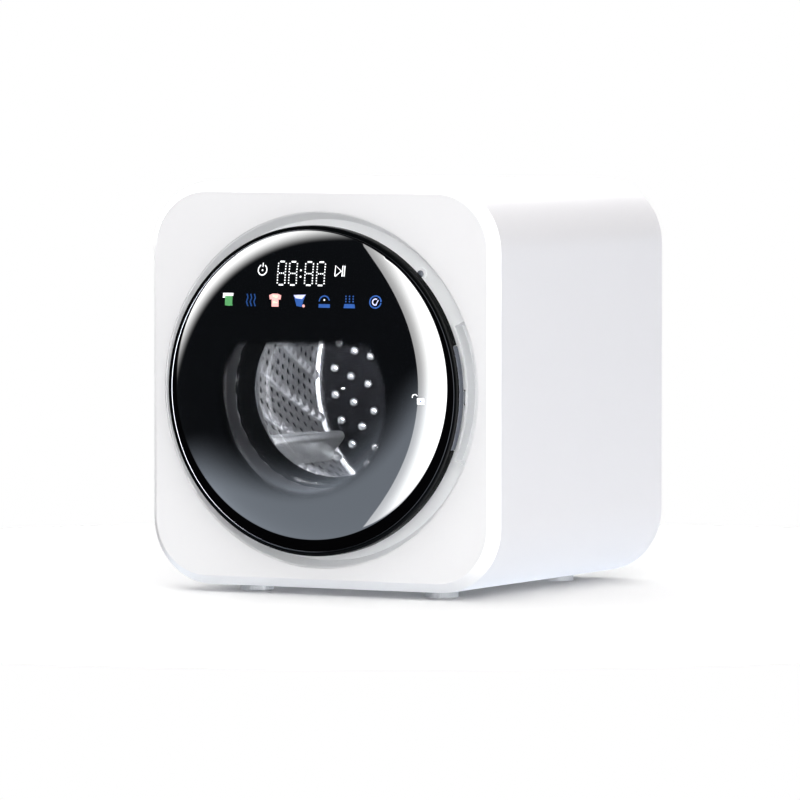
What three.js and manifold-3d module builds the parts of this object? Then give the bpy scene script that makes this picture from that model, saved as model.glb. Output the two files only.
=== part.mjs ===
// A small front-loading washing machine that hangs on a wall: a rounded cabinet, a round glass door
// on a hidden gooseneck hinge, and a belt-driven drum in a sealed tub.
// Millimetres, +Z up, the door faces -Y. Depths are measured from the flat front face of the cabinet,
// positive towards the wall, and the finished group is centred over its feet at the end.
import * as THREE from "three";
import { mergeVertices } from "three/addons/utils/BufferGeometryUtils.js";
import Module from "manifold-3d";

const wasm = await Module();
wasm.setup();

// ---------------------------------------------------------------- driving dimensions
const BODY_WIDTH = 400;
const BODY_HEIGHT = 410;
const BODY_DEPTH = 376;
const CORNER_RADIUS = 67;
const BEVEL_WIDTH = 9.5;
const BEVEL_DEPTH = 11.5;
const FOOT_HEIGHT = 8;
const FOOT_RADIUS = 17.5;
const FOOT_STUD = 4;
const FOOT_SPREAD = BODY_WIDTH / 2 - 93;
const FOOT_FRONT_DEPTH = 61;
const FOOT_REAR_DEPTH = BODY_DEPTH - 58;
const DOOR_DROP = 4;
const DOOR_AXIS_HEIGHT = FOOT_HEIGHT + BODY_HEIGHT / 2 - DOOR_DROP;

const FEET = {
  foot_front_left: [-FOOT_SPREAD, FOOT_FRONT_DEPTH],
  foot_front_right: [FOOT_SPREAD, FOOT_FRONT_DEPTH],
  foot_rear_left: [-FOOT_SPREAD, FOOT_REAR_DEPTH],
  foot_rear_right: [FOOT_SPREAD, FOOT_REAR_DEPTH],
};

const SLEEVE_WALL = 2;
const FRAME_WALL = 3;
const FRAME_SPIGOT = 10;
const FIT = 0.3;
const SEAT = SLEEVE_WALL + FIT;

// The round opening leaves a margin to the nearer pair of cabinet sides, and every ring inside it is
// stepped in from it.
const PORT_MARGIN = 20;
const PORT_RADIUS = Math.min(BODY_WIDTH, BODY_HEIGHT - 2.5 * DOOR_DROP) / 2 - PORT_MARGIN;
const SURROUND_WALL = 2.5;
const SURROUND_FUNNEL = 7.3;
const SURROUND_FLOOR_DEPTH = 15;
const SURROUND_FLANGE = 6;
const PORT_LIP = 0.6;
const COLLAR_RADIUS = PORT_RADIUS - 65;
const COLLAR_LENGTH = 15;
const FUNNEL_END = PORT_RADIUS - SURROUND_FUNNEL;
const COLLAR_END = SURROUND_FLOOR_DEPTH + COLLAR_LENGTH;
const LIP_INNER = PORT_RADIUS - 2.7;
const BUFFER_ANGLE = 47.8;
const BUFFER_REACH = PORT_RADIUS - 19.4;
const BUFFER_RADIUS = 3.6;

const RIM_RADIUS = PORT_RADIUS - 13;
const RIM_FRONT = -17.5;
const RIM_BACK = -5;
const GLASS_RADIUS = RIM_RADIUS - 5;
const GLASS_FRONT = -17.8;
const GLASS_THICKNESS = 4;
const GLASS_LEDGE = 13;
const LEDGE_INNER = RIM_RADIUS - 18;
const DOME_RADIUS = GLASS_RADIUS - 6.2;
const DOME_RISE = 6;
const DOME_FRONT = -19.8;
const DOME_HEIGHT = 18.2;
const DOME_POWER = 6;

const INNER_FRAME_RADIUS = RIM_RADIUS - 7;
const INNER_FRAME_FRONT = 2;
const INNER_FRAME_WALL = 3;
const INNER_FRAME_BACK = 8;
const RIB_COUNT = 12;
const BOWL_MOUTH = COLLAR_RADIUS - 16;
const BOWL_END = BOWL_MOUTH - 11;
const BOWL_BACK = 50;
const BOWL_WALL = 3;
const BOWL_FLANGE = 12;
const GASKET_LIP = BOWL_MOUTH - 1.5;
const GASKET_BULGE = COLLAR_RADIUS + SURROUND_WALL + FIT + 5;

const GRIP_ANGLE = 22.5;
const GRIP_INNER = RIM_RADIUS - 3.6;
const GRIP_FRONT = RIM_FRONT + 3.5;
const POCKET_ANGLE = 24.5;
const POCKET_DEPTH = 27;
const POCKET_INNER = PORT_RADIUS - 17;
const POCKET_OUTER = PORT_RADIUS - 3.5;

const HINGE_X = -(PORT_RADIUS + 4);
const HINGE_DEPTH = 10;
const HINGE_PIN_RADIUS = 2.5;
const HINGE_ARM_HALF = 20;
const HINGE_EAR = 2;
const HINGE_SLOT_HALF = HINGE_ARM_HALF + HINGE_EAR + 2;
const ARM_TAB_END = -(BOWL_MOUTH + BOWL_FLANGE + 7);
const HOOK_X = PORT_RADIUS - 22;
const HOOK_Z = -4.3;
const HOOK_THICKNESS = 2.5;
const HOOK_HALF_HEIGHT = 6;
const HOOK_REACH = 38;
const LOCK_LEFT = POCKET_INNER - 39;
const BLADE_FRONT = 28;
const BLADE_WIDTH = 3;
const BLADE_HALF = 3;
const BLADE_LENGTH = 22;
const BLADE_GAP = 0.4;

const DISPLAY_FRONT = -19;
const BOARD_WALL = 1.6;
const BOARD_RADIUS = LEDGE_INNER - 19;
const BOARD_LEVEL = 0.57 * BOARD_RADIUS;
const POST_X = 0.54 * BOARD_RADIUS;
const POST_RISE = 0.73 * BOARD_RADIUS;
const DIGITS_LEFT = -32;
const DIGITS_RIGHT = 26;
const DIGITS_LOW = BOARD_RADIUS - 34;
const DIGITS_HIGH = BOARD_RADIUS - 12;

const TUB_RADIUS = PORT_RADIUS - 22;
const TUB_WALL = 3;
const TUB_OUTSIDE = TUB_RADIUS + TUB_WALL;
const TUB_FLANGE = 9;
const TUB_FRONT = 47;
const TUB_LIP = 4;
const TUB_SPLIT = TUB_FRONT + 73;
const TUB_BACK = BODY_DEPTH - 100;
const TUB_MOUTH = COLLAR_RADIUS - 3;
const TUB_RIBS = 8;
const TUB_RIB_HEIGHT = 10;
const TUB_POST_SPREAD = TUB_RADIUS - 24;
const POST_RADIUS = 8;
const BUSH_LENGTH = 6;

const DRUM_RADIUS = TUB_RADIUS - 13;
const DRUM_WALL = 1.5;
const DRUM_FRONT = TUB_FRONT + 10;
const DRUM_BACK = TUB_BACK - 18;
const DRUM_MOUTH = TUB_MOUTH - 8;
const DRUM_HOLE_RADIUS = 3;
const HOLE_COLUMNS = 3;
const HOLE_ROWS = 3;
const HOLE_PITCH = (DRUM_BACK - DRUM_FRONT - 21) / 4;
const LIFTER_COUNT = 3;
const LIFTER_ANGLE = 90;
const LIFTER_HEIGHT = 30;
const LIFTER_LENGTH = DRUM_BACK - DRUM_FRONT - 51;

const SHAFT_RADIUS = 10;
const BEARING_WIDTH = 12;
const FRONT_BEARING_RADIUS = 24;
const REAR_BEARING_RADIUS = 21;
const HUB_RADIUS = 34;
const HUB_FRONT = DRUM_BACK + 10;
const HUB_BACK = TUB_BACK + 38;
const SEAL_BACK = HUB_FRONT + 9;
const FRONT_BEARING_BACK = SEAL_BACK + BEARING_WIDTH;
const REAR_BEARING_FRONT = HUB_BACK - 2 - BEARING_WIDTH;
const PULLEY_RADIUS = TUB_RADIUS - 68;
const PULLEY_WIDTH = 13;
const PULLEY_FRONT = HUB_BACK + 5;
const PULLEY_FLANGE = 1.2;
const SPOKES = 6;
const SHAFT_END = PULLEY_FRONT + PULLEY_WIDTH + 6.3;
const MOTOR_PULLEY_RADIUS = PULLEY_RADIUS / 10;
const BELT_THICKNESS = 2.4;
const BELT_GAP = 0.5;
const BELT_STEPS = 10;
const MOTOR_X = -(BODY_WIDTH / 2 - 53);
const MOTOR_DROP = DOOR_AXIS_HEIGHT - 62;
const MOTOR_RADIUS = 38;
const MOTOR_LENGTH = 84;
const MOTOR_BACK = PULLEY_FRONT - 6;
const MOTOR_SHAFT = 4;

const SUMP_DEPTH = TUB_SPLIT + 40;
const SUMP_RADIUS = 10;
const SUMP_REACH = TUB_OUTSIDE + 11;
const PUMP_X = BODY_WIDTH / 2 - 48;
const PUMP_DROP = DOOR_AXIS_HEIGHT - 57;
const PUMP_RADIUS = 26;
const PUMP_FRONT = SUMP_DEPTH - 16;
const PUMP_CHAMBER_BACK = PUMP_FRONT + 32;
const PUMP_BACK = PUMP_CHAMBER_BACK + 52;
const SUMP_ANGLE = -(Math.atan2(PUMP_DROP, PUMP_X) * 180) / Math.PI;
const HOSE_GAP = 6;
const IMPELLER_SHAFT = 3;
const IMPELLER_RADIUS = 15.7;
const HEATER_REACH = (DRUM_RADIUS + TUB_RADIUS) / 2;
const HEATER_ROD = 3.5;
const HEATER_HALF = 12;
const HEATER_START = TUB_BACK - 106;

const CHASSIS_FRONT = BODY_DEPTH - 33;
const CHASSIS_WALL = 2;
const VALVE_FRONT = CHASSIS_FRONT + CHASSIS_WALL + FIT;
const POST_END = CHASSIS_FRONT - BUSH_LENGTH - 2 * FIT;
const LEDGE_WIDTH = 14;
const REAR_COVER_FRONT = BODY_DEPTH - 12;
const REAR_COVER_WALL = 2;
const FIELD_INSET = 30;
const FIELD_RISE = 4;
const FIELD_FLANK = 4;
const VENT_ROWS = 5;
const VENT_BOTTOM = 70;
const VENT_PITCH = 12;
const VENT_SLOT = 4;
const VENT_HALF = 30;
const VENT_CENTRE = 70;
const SPIGOT_RADIUS = 13;
const HOSE_X = PORT_RADIUS - 50;
const HOSE_RISE = HOSE_X;
const HOSE_BORE = 7;
const HOSE_OUTSIDE = 9;
const INLET_Z = DOOR_AXIS_HEIGHT + HOSE_RISE;
const DRAIN_RADIUS = 11;
const DRAIN_X = PUMP_X - 57;
const DRAIN_Z = DOOR_AXIS_HEIGHT - PUMP_DROP;
const GLAND_RADIUS = 8;
const GLAND_X = -(BODY_WIDTH / 2 - 80);
const GLAND_Z = DOOR_AXIS_HEIGHT + 121;
const HOLE_CLEARANCE = 1.5;
const BRACKET_OFFSET = 8;
const BRACKET_WALL = 2;
const BRACKET_WIDTH = 220;
const BRACKET_HEIGHT = 110;
const BRACKET_Z = DOOR_AXIS_HEIGHT + 41;
const WALL_SCREW_HOLE = 3.5;
const NOZZLE_DEPTH = 32;
const NOZZLE_END = COLLAR_RADIUS - 15;
const TRAY_TOP = BODY_HEIGHT + FOOT_HEIGHT - SEAT - DOOR_AXIS_HEIGHT;
const TRAY_HEIGHT = 19;
const TRAY_LEFT = -(BODY_WIDTH / 2 - 82);
const TRAY_RIGHT = TRAY_LEFT + 106;
const TRAY_FRONT = 140;
const TRAY_BACK = TRAY_FRONT + 160;

const RING_SEGMENTS = 32;
const SHELL_SEGMENTS = 20;
const PLAIN_SEGMENTS = 16;
const SMALL_SEGMENTS = 8;
const CORNER_STEPS = 5;

// ---------------------------------------------------------------- colours of the finishes
const finish = (color, roughness, metalness) =>
  new THREE.MeshStandardMaterial({ color, roughness, metalness });
const WHITE_PAINT = finish(0xf2f2f3, 0.35, 0.0);
const WHITE_PLASTIC = finish(0xf4f4f5, 0.4, 0.0);
const SILVER_PLASTIC = finish(0xd2d3d5, 0.4, 0.1);
const BLACK_GLOSS = finish(0x0b0c0e, 0.12, 0.0);
const DARK_GREY_PLASTIC = finish(0x4b4d52, 0.5, 0.0);
const BLACK_PLASTIC = finish(0x1a1b1d, 0.5, 0.0);
const TINTED_GLASS = finish(0x14161a, 0.05, 0.0);
const CLEAR_PLASTIC = finish(0xcfd8dc, 0.1, 0.0);
const STAINLESS = finish(0xc4c7ca, 0.3, 1.0);
const ZINC_STEEL = finish(0xa9adb0, 0.45, 0.9);
const BEARING_STEEL = finish(0xb9bcc0, 0.25, 1.0);
const CAST_ALUMINIUM = finish(0xaab0b4, 0.5, 0.9);
const GREY_RUBBER = finish(0x8a8d90, 0.8, 0.0);
const BLACK_RUBBER = finish(0x18181a, 0.85, 0.0);
const TUB_PLASTIC = finish(0xd9dcdd, 0.55, 0.0);
const CIRCUIT_GREEN = finish(0x2f5d3a, 0.5, 0.0);

// ---------------------------------------------------------------- solids from three.js shapes
const radians = THREE.MathUtils.degToRad;

// A manifold solid from a closed geometry, turned to face outwards.
function solid(geometry) {
  const bare = geometry.index ? geometry.toNonIndexed() : geometry.clone();
  bare.deleteAttribute("normal");
  bare.deleteAttribute("uv");
  const merged = mergeVertices(bare, 1e-4);
  const corners = [];
  for (let i = 0; i < merged.index.count; i += 3) {
    const [a, b, c] = merged.index.array.slice(i, i + 3);
    if (a !== b && b !== c && c !== a) {
      corners.push(a, b, c);
    }
  }
  const triVerts = new Uint32Array(corners);
  const points = merged.attributes.position.array;
  if (signedVolume(points, triVerts) < 0) {
    triVerts.reverse();
  }
  return new wasm.Manifold(new wasm.Mesh({ numProp: 3, vertProperties: points, triVerts }));
}

function signedVolume(points, triangles) {
  const [a, b, c] = [new THREE.Vector3(), new THREE.Vector3(), new THREE.Vector3()];
  let sum = 0;
  for (let i = 0; i < triangles.length; i += 3) {
    a.fromArray(points, triangles[i] * 3);
    b.fromArray(points, triangles[i + 1] * 3);
    c.fromArray(points, triangles[i + 2] * 3);
    sum += a.dot(b.cross(c));
  }
  return sum;
}

function geometryOf(body) {
  const mesh = body.getMesh();
  const geometry = new THREE.BufferGeometry();
  geometry.setAttribute("position", new THREE.BufferAttribute(mesh.vertProperties, 3));
  geometry.setIndex(new THREE.BufferAttribute(mesh.triVerts, 1));
  const flat = geometry.toNonIndexed();
  flat.computeVertexNormals();
  return flat;
}

// A closed outline of [radius, depth] points turned about the depth axis.
function turned(outline, segments = PLAIN_SEGMENTS) {
  const points = outline.map(([r, y]) => new THREE.Vector2(r, y));
  const touchesAxis = outline[0][0] === 0;
  if (!touchesAxis) {
    points.push(points[0].clone());
  }
  return solid(new THREE.LatheGeometry(points, segments));
}

// A plain round bar, or a tube where it has a bore, along the depth axis.
function bar(radius, from, to, bore = 0, segments = PLAIN_SEGMENTS) {
  if (bore > 0) {
    return turned([[bore, from], [radius, from], [radius, to], [bore, to]], segments);
  }
  return turned([[0, from], [radius, from], [radius, to], [0, to]], segments);
}

// A block between two corners.
function block(x0, x1, y0, y1, z0, z1) {
  const box = new THREE.BoxGeometry(x1 - x0, y1 - y0, z1 - z0);
  box.translate((x0 + x1) / 2, (y0 + y1) / 2, (z0 + z1) / 2);
  return solid(box);
}

// A flat outline in the front plane, given a thickness along the depth.
function plate(shape, from, to, curveSegments = 10) {
  const geometry = new THREE.ExtrudeGeometry(
    shape,
    { depth: to - from, bevelEnabled: false, curveSegments },
  );
  geometry.rotateX(Math.PI / 2);
  geometry.translate(0, to, 0);
  return solid(geometry);
}

// A round outline, for bars that stand upright and for hoses.
function round(x, y, radius) {
  const shape = new THREE.Shape();
  shape.absarc(x, y, radius, 0, 2 * Math.PI, false);
  return shape;
}

// A plan outline, seen from above, given a height.
function standing(shape, z0, z1, curveSegments = 8) {
  const geometry = new THREE.ExtrudeGeometry(
    shape,
    { depth: z1 - z0, bevelEnabled: false, curveSegments },
  );
  geometry.translate(0, 0, z0);
  return solid(geometry);
}

// A skin through rings of points, closed by a fan at each end.
function lofted(rings) {
  const count = rings[0].length;
  const vertices = rings.flat();
  const triangles = [];
  for (let k = 0; k + 1 < rings.length; k += 1) {
    for (let i = 0; i < count; i += 1) {
      const j = (i + 1) % count;
      const [a, b, c, d] = [k * count + i, k * count + j, (k + 1) * count + j, (k + 1) * count + i];
      triangles.push(a, b, c, a, c, d);
    }
  }
  const last = (rings.length - 1) * count;
  for (let i = 1; i + 1 < count; i += 1) {
    triangles.push(0, i + 1, i);
    triangles.push(last, last + i, last + i + 1);
  }
  const geometry = new THREE.BufferGeometry();
  geometry.setAttribute("position", new THREE.Float32BufferAttribute(vertices.flat(), 3));
  geometry.setIndex(triangles);
  return solid(geometry);
}

// The cabinet's rounded rectangle, drawn in by an inset, as points at one depth.
function cabinetRing(inset, depth) {
  const radius = Math.max(CORNER_RADIUS - inset, 1);
  const halfWidth = BODY_WIDTH / 2 - inset - radius;
  const halfHeight = BODY_HEIGHT / 2 - inset - radius;
  const middle = FOOT_HEIGHT + BODY_HEIGHT / 2;
  const ring = [];
  for (let quarter = 0; quarter < 4; quarter += 1) {
    const sideX = quarter === 0 || quarter === 3 ? 1 : -1;
    const sideZ = quarter < 2 ? 1 : -1;
    for (let step = 0; step <= CORNER_STEPS; step += 1) {
      const angle = (quarter + step / CORNER_STEPS) * (Math.PI / 2);
      const x = sideX * halfWidth + radius * Math.cos(angle);
      const z = middle + sideZ * halfHeight + radius * Math.sin(angle);
      ring.push([x, depth, z]);
    }
  }
  return ring;
}

function circleRing(radius, depth, rise, segments) {
  const ring = [];
  for (let i = 0; i < segments; i += 1) {
    const angle = (i / segments) * 2 * Math.PI;
    ring.push([radius * Math.cos(angle), depth, rise + radius * Math.sin(angle)]);
  }
  return ring;
}

// A wedge about the depth axis, centred on an angle measured from +X towards +Z.
function wedge(reach, centre, half, from, to) {
  const shape = new THREE.Shape();
  const [first, last] = [radians(centre - half), radians(centre + half)];
  shape.moveTo(0, 0);
  shape.lineTo(reach * Math.cos(first), reach * Math.sin(first));
  shape.absarc(0, 0, reach, first, last, false);
  shape.closePath();
  return plate(shape, from, to);
}

// A copy turned about the depth axis by degrees, from +X towards +Z.
const spun = (body, angle) => body.rotate([0, -angle, 0]);
const moved = (body, x, y, z) => body.translate([x, y, z]);
const joined = (bodies) => bodies.reduce((sum, next) => sum.add(next));
const cut = (body, tools) => tools.reduce((rest, tool) => rest.subtract(tool), body);

const machine = new THREE.Group();

// Adds a finished piece whose depth axis is the door axis, or one already at its own height.
function piece(name, body, material, height = DOOR_AXIS_HEIGHT) {
  const mesh = new THREE.Mesh(geometryOf(body), material);
  mesh.name = name;
  mesh.position.z = height;
  machine.add(mesh);
  return mesh;
}

// ---------------------------------------------------------------- cabinet

// Front panel: a bevelled moulded plate with a spigot that plugs into the sleeve.
function frontFrame() {
  const seatDepth = BEVEL_DEPTH + FIT;
  const outside = lofted([
    cabinetRing(BEVEL_WIDTH, 0),
    cabinetRing(0, BEVEL_DEPTH),
    cabinetRing(0, seatDepth),
    cabinetRing(SEAT, seatDepth),
    cabinetRing(SEAT, seatDepth + FRAME_SPIGOT),
  ]);
  const hollow = lofted([
    cabinetRing(BEVEL_WIDTH + FRAME_WALL, FRAME_WALL),
    cabinetRing(SEAT + FRAME_WALL, BEVEL_DEPTH),
    cabinetRing(SEAT + FRAME_WALL, seatDepth + FRAME_SPIGOT + 1),
  ]);
  const port = moved(
    bar(PORT_RADIUS + FIT, -1, 2 * BEVEL_DEPTH, 0, RING_SEGMENTS),
    0,
    0,
    DOOR_AXIS_HEIGHT,
  );
  return cut(outside, [hollow, port]);
}

// Wrap-round steel sleeve with round holes for the feet and a return at the back that holds the cover.
function cabinetSleeve() {
  const front = BEVEL_DEPTH + 2 * FIT;
  const outside = lofted([cabinetRing(0, front), cabinetRing(0, BODY_DEPTH)]);
  const inside = lofted([cabinetRing(SLEEVE_WALL, front - 1), cabinetRing(SLEEVE_WALL, BODY_DEPTH + 1)]);
  const shell = outside.subtract(inside);
  const ledgeOutside = lofted([
    cabinetRing(SLEEVE_WALL / 2, REAR_COVER_FRONT - FIT - SLEEVE_WALL),
    cabinetRing(SLEEVE_WALL / 2, REAR_COVER_FRONT - FIT),
  ]);
  const ledgeInside = lofted([
    cabinetRing(LEDGE_WIDTH, REAR_COVER_FRONT - SLEEVE_WALL - 2),
    cabinetRing(LEDGE_WIDTH, REAR_COVER_FRONT + 1),
  ]);
  const studHoles = Object.values(FEET).map(([x, y]) => (
    moved(
      bar(FOOT_STUD + FIT, -SLEEVE_WALL, 2 * SLEEVE_WALL, 0, SMALL_SEGMENTS).rotate([90, 0, 0]),
      x,
      y,
      FOOT_HEIGHT,
    )
  ));
  return cut(shell.add(ledgeOutside.subtract(ledgeInside)), studHoles);
}
// Rear cover: a thin pressed panel inset in the sleeve, with vent slots and a raised centre field.
function rearCover() {
  const back = REAR_COVER_FRONT + REAR_COVER_WALL;
  const sheet = lofted([cabinetRing(SEAT, REAR_COVER_FRONT), cabinetRing(SEAT, back)]);
  const field = lofted([
    cabinetRing(FIELD_INSET, REAR_COVER_FRONT),
    cabinetRing(FIELD_INSET + FIELD_FLANK, back + FIELD_RISE),
  ]);
  const hollow = lofted([
    cabinetRing(FIELD_INSET + REAR_COVER_WALL, REAR_COVER_FRONT - 1),
    cabinetRing(FIELD_INSET + REAR_COVER_WALL + FIELD_FLANK, back + FIELD_RISE - REAR_COVER_WALL),
  ]);
  const slots = [];
  for (let row = 0; row < VENT_ROWS; row += 1) {
    const z = VENT_BOTTOM + row * VENT_PITCH;
    for (const side of [-1, 1]) {
      const x = side * VENT_CENTRE;
      slots.push(block(
        x - VENT_HALF,
        x + VENT_HALF,
        REAR_COVER_FRONT - 2,
        back + FIELD_RISE + 2,
        z,
        z + VENT_SLOT,
      ));
    }
  }
  const holes = [
    [SPIGOT_RADIUS + HOLE_CLEARANCE, HOSE_X, INLET_Z],
    [DRAIN_RADIUS + HOLE_CLEARANCE, DRAIN_X, DRAIN_Z],
    [GLAND_RADIUS + FIT, GLAND_X, GLAND_Z],
  ];
  for (const [radius, x, z] of holes) {
    slots.push(moved(bar(radius, REAR_COVER_FRONT - 2, back + FIELD_RISE + 2), x, 0, z));
  }
  return cut(sheet.add(field).subtract(hollow), slots);
}

piece("front_frame", frontFrame(), WHITE_PLASTIC, 0);
piece("cabinet_sleeve", cabinetSleeve(), WHITE_PAINT, 0);
piece("rear_cover", rearCover(), WHITE_PAINT, 0);

// Pressed chassis plate across the back of the cabinet: the tub is bolted to its four corners.
function rearChassis() {
  const back = CHASSIS_FRONT + CHASSIS_WALL;
  const sheet = lofted([cabinetRing(SEAT, CHASSIS_FRONT), cabinetRing(SEAT, back)]);
  const holes = [];
  for (const [x, z] of [[HOSE_X, HOSE_RISE], [DRAIN_X, DRAIN_Z - DOOR_AXIS_HEIGHT]]) {
    const hole = bar(DRAIN_RADIUS + 2, CHASSIS_FRONT - 1, back + 1, 0, SMALL_SEGMENTS);
    holes.push(moved(hole, x, 0, DOOR_AXIS_HEIGHT + z));
  }
  return cut(sheet, holes);
}
piece("rear_chassis", rearChassis(), ZINC_STEEL, 0);

// Wall bracket: a channel that hangs on four wall screws and stands the machine off the wall.
function wallBracket() {
  const front = REAR_COVER_FRONT + REAR_COVER_WALL + FIELD_RISE + FIT;
  const back = BODY_DEPTH + BRACKET_OFFSET;
  const [halfW, halfH] = [BRACKET_WIDTH / 2, BRACKET_HEIGHT / 2];
  const outside = block(-halfW, halfW, front, back, -halfH, halfH);
  const inside = block(
    -halfW - 1,
    halfW + 1,
    front - 1,
    back - BRACKET_WALL,
    BRACKET_WALL - halfH,
    halfH - BRACKET_WALL,
  );
  const holes = [];
  for (const side of [-1, 1]) {
    for (const level of [-1, 1]) {
      const hole = bar(WALL_SCREW_HOLE, back - 2 * BRACKET_WALL, back + 1, 0, SMALL_SEGMENTS);
      holes.push(moved(hole, side * (halfW - 20), 0, level * (halfH - 22)));
    }
  }
  return cut(outside.subtract(inside), holes);
}
piece("wall_bracket", wallBracket(), ZINC_STEEL, BRACKET_Z);

// Levelling foot: a plastic pad on a threaded stud.
function foot() {
  const pad = [
    [0, 0],
    [FOOT_RADIUS - 1.5, 0],
    [FOOT_RADIUS, 1.5],
    [FOOT_RADIUS - 1, FOOT_HEIGHT - FIT],
    [0, FOOT_HEIGHT - FIT],
  ];
  const stud = [[0, 1], [FOOT_STUD, 1], [FOOT_STUD, FOOT_HEIGHT + 16], [0, FOOT_HEIGHT + 16]];
  return turned(pad, PLAIN_SEGMENTS).add(turned(stud, SMALL_SEGMENTS)).rotate([90, 0, 0]);
}
for (const [name, [x, y]] of Object.entries(FEET)) {
  piece(name, moved(foot(), x, y, 0), SILVER_PLASTIC, 0);
}

// ---------------------------------------------------------------- door surround, hinge and lock
const [bufferX, bufferZ] = [
  BUFFER_REACH * Math.cos(radians(BUFFER_ANGLE)),
  BUFFER_REACH * Math.sin(radians(BUFFER_ANGLE)),
];

// The silver ring round the door: a funnel and floor with a collar for the gasket, a finger pocket
// moulded into its right side and a window on its left for the hinge arm.
function doorSurround() {
  const floor = SURROUND_FLOOR_DEPTH;
  const flangeFront = FRAME_WALL + FIT;
  const flangeBack = flangeFront + SURROUND_WALL;
  const ring = turned([
    [PORT_RADIUS, PORT_LIP],
    [FUNNEL_END, floor],
    [COLLAR_RADIUS + 2, floor],
    [COLLAR_RADIUS, floor + 2],
    [COLLAR_RADIUS, COLLAR_END],
    [COLLAR_RADIUS + SURROUND_WALL, COLLAR_END],
    [COLLAR_RADIUS + SURROUND_WALL, floor + SURROUND_WALL],
    [FUNNEL_END + 1, floor + SURROUND_WALL],
    [PORT_RADIUS, flangeBack],
    [PORT_RADIUS + SURROUND_FLANGE, flangeBack],
    [PORT_RADIUS + SURROUND_FLANGE, flangeFront],
    [PORT_RADIUS, flangeFront],
  ], RING_SEGMENTS);
  const pocketBack = POCKET_DEPTH + SURROUND_WALL;
  const liner = bar(
    POCKET_OUTER + SURROUND_WALL,
    floor - 4,
    pocketBack,
    POCKET_INNER - SURROUND_WALL,
    RING_SEGMENTS,
  )
    .intersect(wedge(2 * PORT_RADIUS, 0, POCKET_ANGLE + 1, floor - 4, pocketBack));
  const cavity = bar(POCKET_OUTER, -1, POCKET_DEPTH, POCKET_INNER, RING_SEGMENTS)
    .intersect(wedge(2 * PORT_RADIUS, 0, POCKET_ANGLE, -1, POCKET_DEPTH));
  const boss = moved(
    bar(BUFFER_RADIUS + 3, floor - 1.2, floor + 1, 0, SMALL_SEGMENTS),
    bufferX,
    0,
    bufferZ,
  );
  const bufferHole = moved(
    bar(BUFFER_RADIUS - 1.2, floor - 3, floor + 5, 0, SMALL_SEGMENTS),
    bufferX,
    0,
    bufferZ,
  );
  const armWindow = bar(LIP_INNER, 2, 2 * COLLAR_END, COLLAR_RADIUS + 33, RING_SEGMENTS)
    .intersect(block(-PORT_RADIUS, 0, 2, 2 * COLLAR_END, -HINGE_SLOT_HALF, HINGE_SLOT_HALF));
  const knuckleRoom = block(
    -2 * PORT_RADIUS,
    30 - PORT_RADIUS,
    HINGE_DEPTH - 3,
    2 * COLLAR_END,
    -HINGE_SLOT_HALF,
    HINGE_SLOT_HALF,
  );
  const flangeRoom = bar(
    2 * PORT_RADIUS,
    flangeFront - 0.2,
    2 * COLLAR_END,
    PORT_RADIUS - 0.1,
    RING_SEGMENTS,
  )
    .intersect(block(-2 * PORT_RADIUS, 0, 0, 2 * COLLAR_END, -HINGE_SLOT_HALF, HINGE_SLOT_HALF));
  const hookSlot = block(HOOK_X - 2.5, HOOK_X + 2.2, floor - 1, floor + 4, HOOK_Z - 8, HOOK_Z + 8);
  return cut(
    ring.add(liner).add(boss),
    [cavity, bufferHole, armWindow, knuckleRoom, flangeRoom, hookSlot],
  );
}
piece("door_surround", doorSurround(), SILVER_PLASTIC);

// Soft stop that the door closes on, plugged into the surround.
function doorBuffer() {
  const floor = SURROUND_FLOOR_DEPTH - 1.2;
  const stem = BUFFER_RADIUS - 1.2 - FIT;
  const behind = SURROUND_FLOOR_DEPTH + SURROUND_WALL + FIT;
  const outline = [
    [0, floor - 1.6],
    [BUFFER_RADIUS - 1, floor - 1.6],
    [BUFFER_RADIUS, floor - FIT],
    [stem, floor - FIT],
    [stem, behind],
    [stem + 1, behind],
    [0, behind + 3],
  ];
  return moved(turned(outline, SMALL_SEGMENTS), bufferX, 0, bufferZ);
}
piece("door_buffer", doorBuffer(), BLACK_RUBBER);

// Hinge bracket: a steel spine on the front panel's spigot with two ears that hold the pin.
function hingeBracket() {
  const spigotInside = -(BODY_WIDTH / 2 - SEAT - FRAME_WALL);
  const left = spigotInside + FIT;
  const front = BEVEL_DEPTH + FIT;
  const back = front + FRAME_SPIGOT - 1;
  const spine = block(left, left + 2, front, back, -HINGE_ARM_HALF - 14, HINGE_ARM_HALF + 14);
  const ear = new THREE.Shape();
  ear.moveTo(left, back);
  ear.lineTo(left, front);
  ear.lineTo(HINGE_X - 3.3, FRAME_WALL + 0.8);
  ear.lineTo(HINGE_X + 5.4, FRAME_WALL + 0.8);
  ear.lineTo(HINGE_X + 5.4, HINGE_DEPTH + 4);
  ear.lineTo(HINGE_X, back);
  ear.closePath();
  const inner = HINGE_ARM_HALF + FIT;
  const pinHole = standing(round(HINGE_X, HINGE_DEPTH, HINGE_PIN_RADIUS + FIT), -inner - 5, inner + 5, 6);
  const ears = [standing(ear, inner, inner + HINGE_EAR), standing(ear, -inner - HINGE_EAR, -inner)];
  return joined([spine, ...ears]).subtract(pinHole);
}

piece("hinge_bracket", hingeBracket(), ZINC_STEEL);

const pinHalf = HINGE_ARM_HALF + HINGE_EAR + 1.5;
piece(
  "hinge_pin",
  standing(round(HINGE_X, HINGE_DEPTH, HINGE_PIN_RADIUS), -pinHalf, pinHalf, 6),
  BEARING_STEEL,
);

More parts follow.
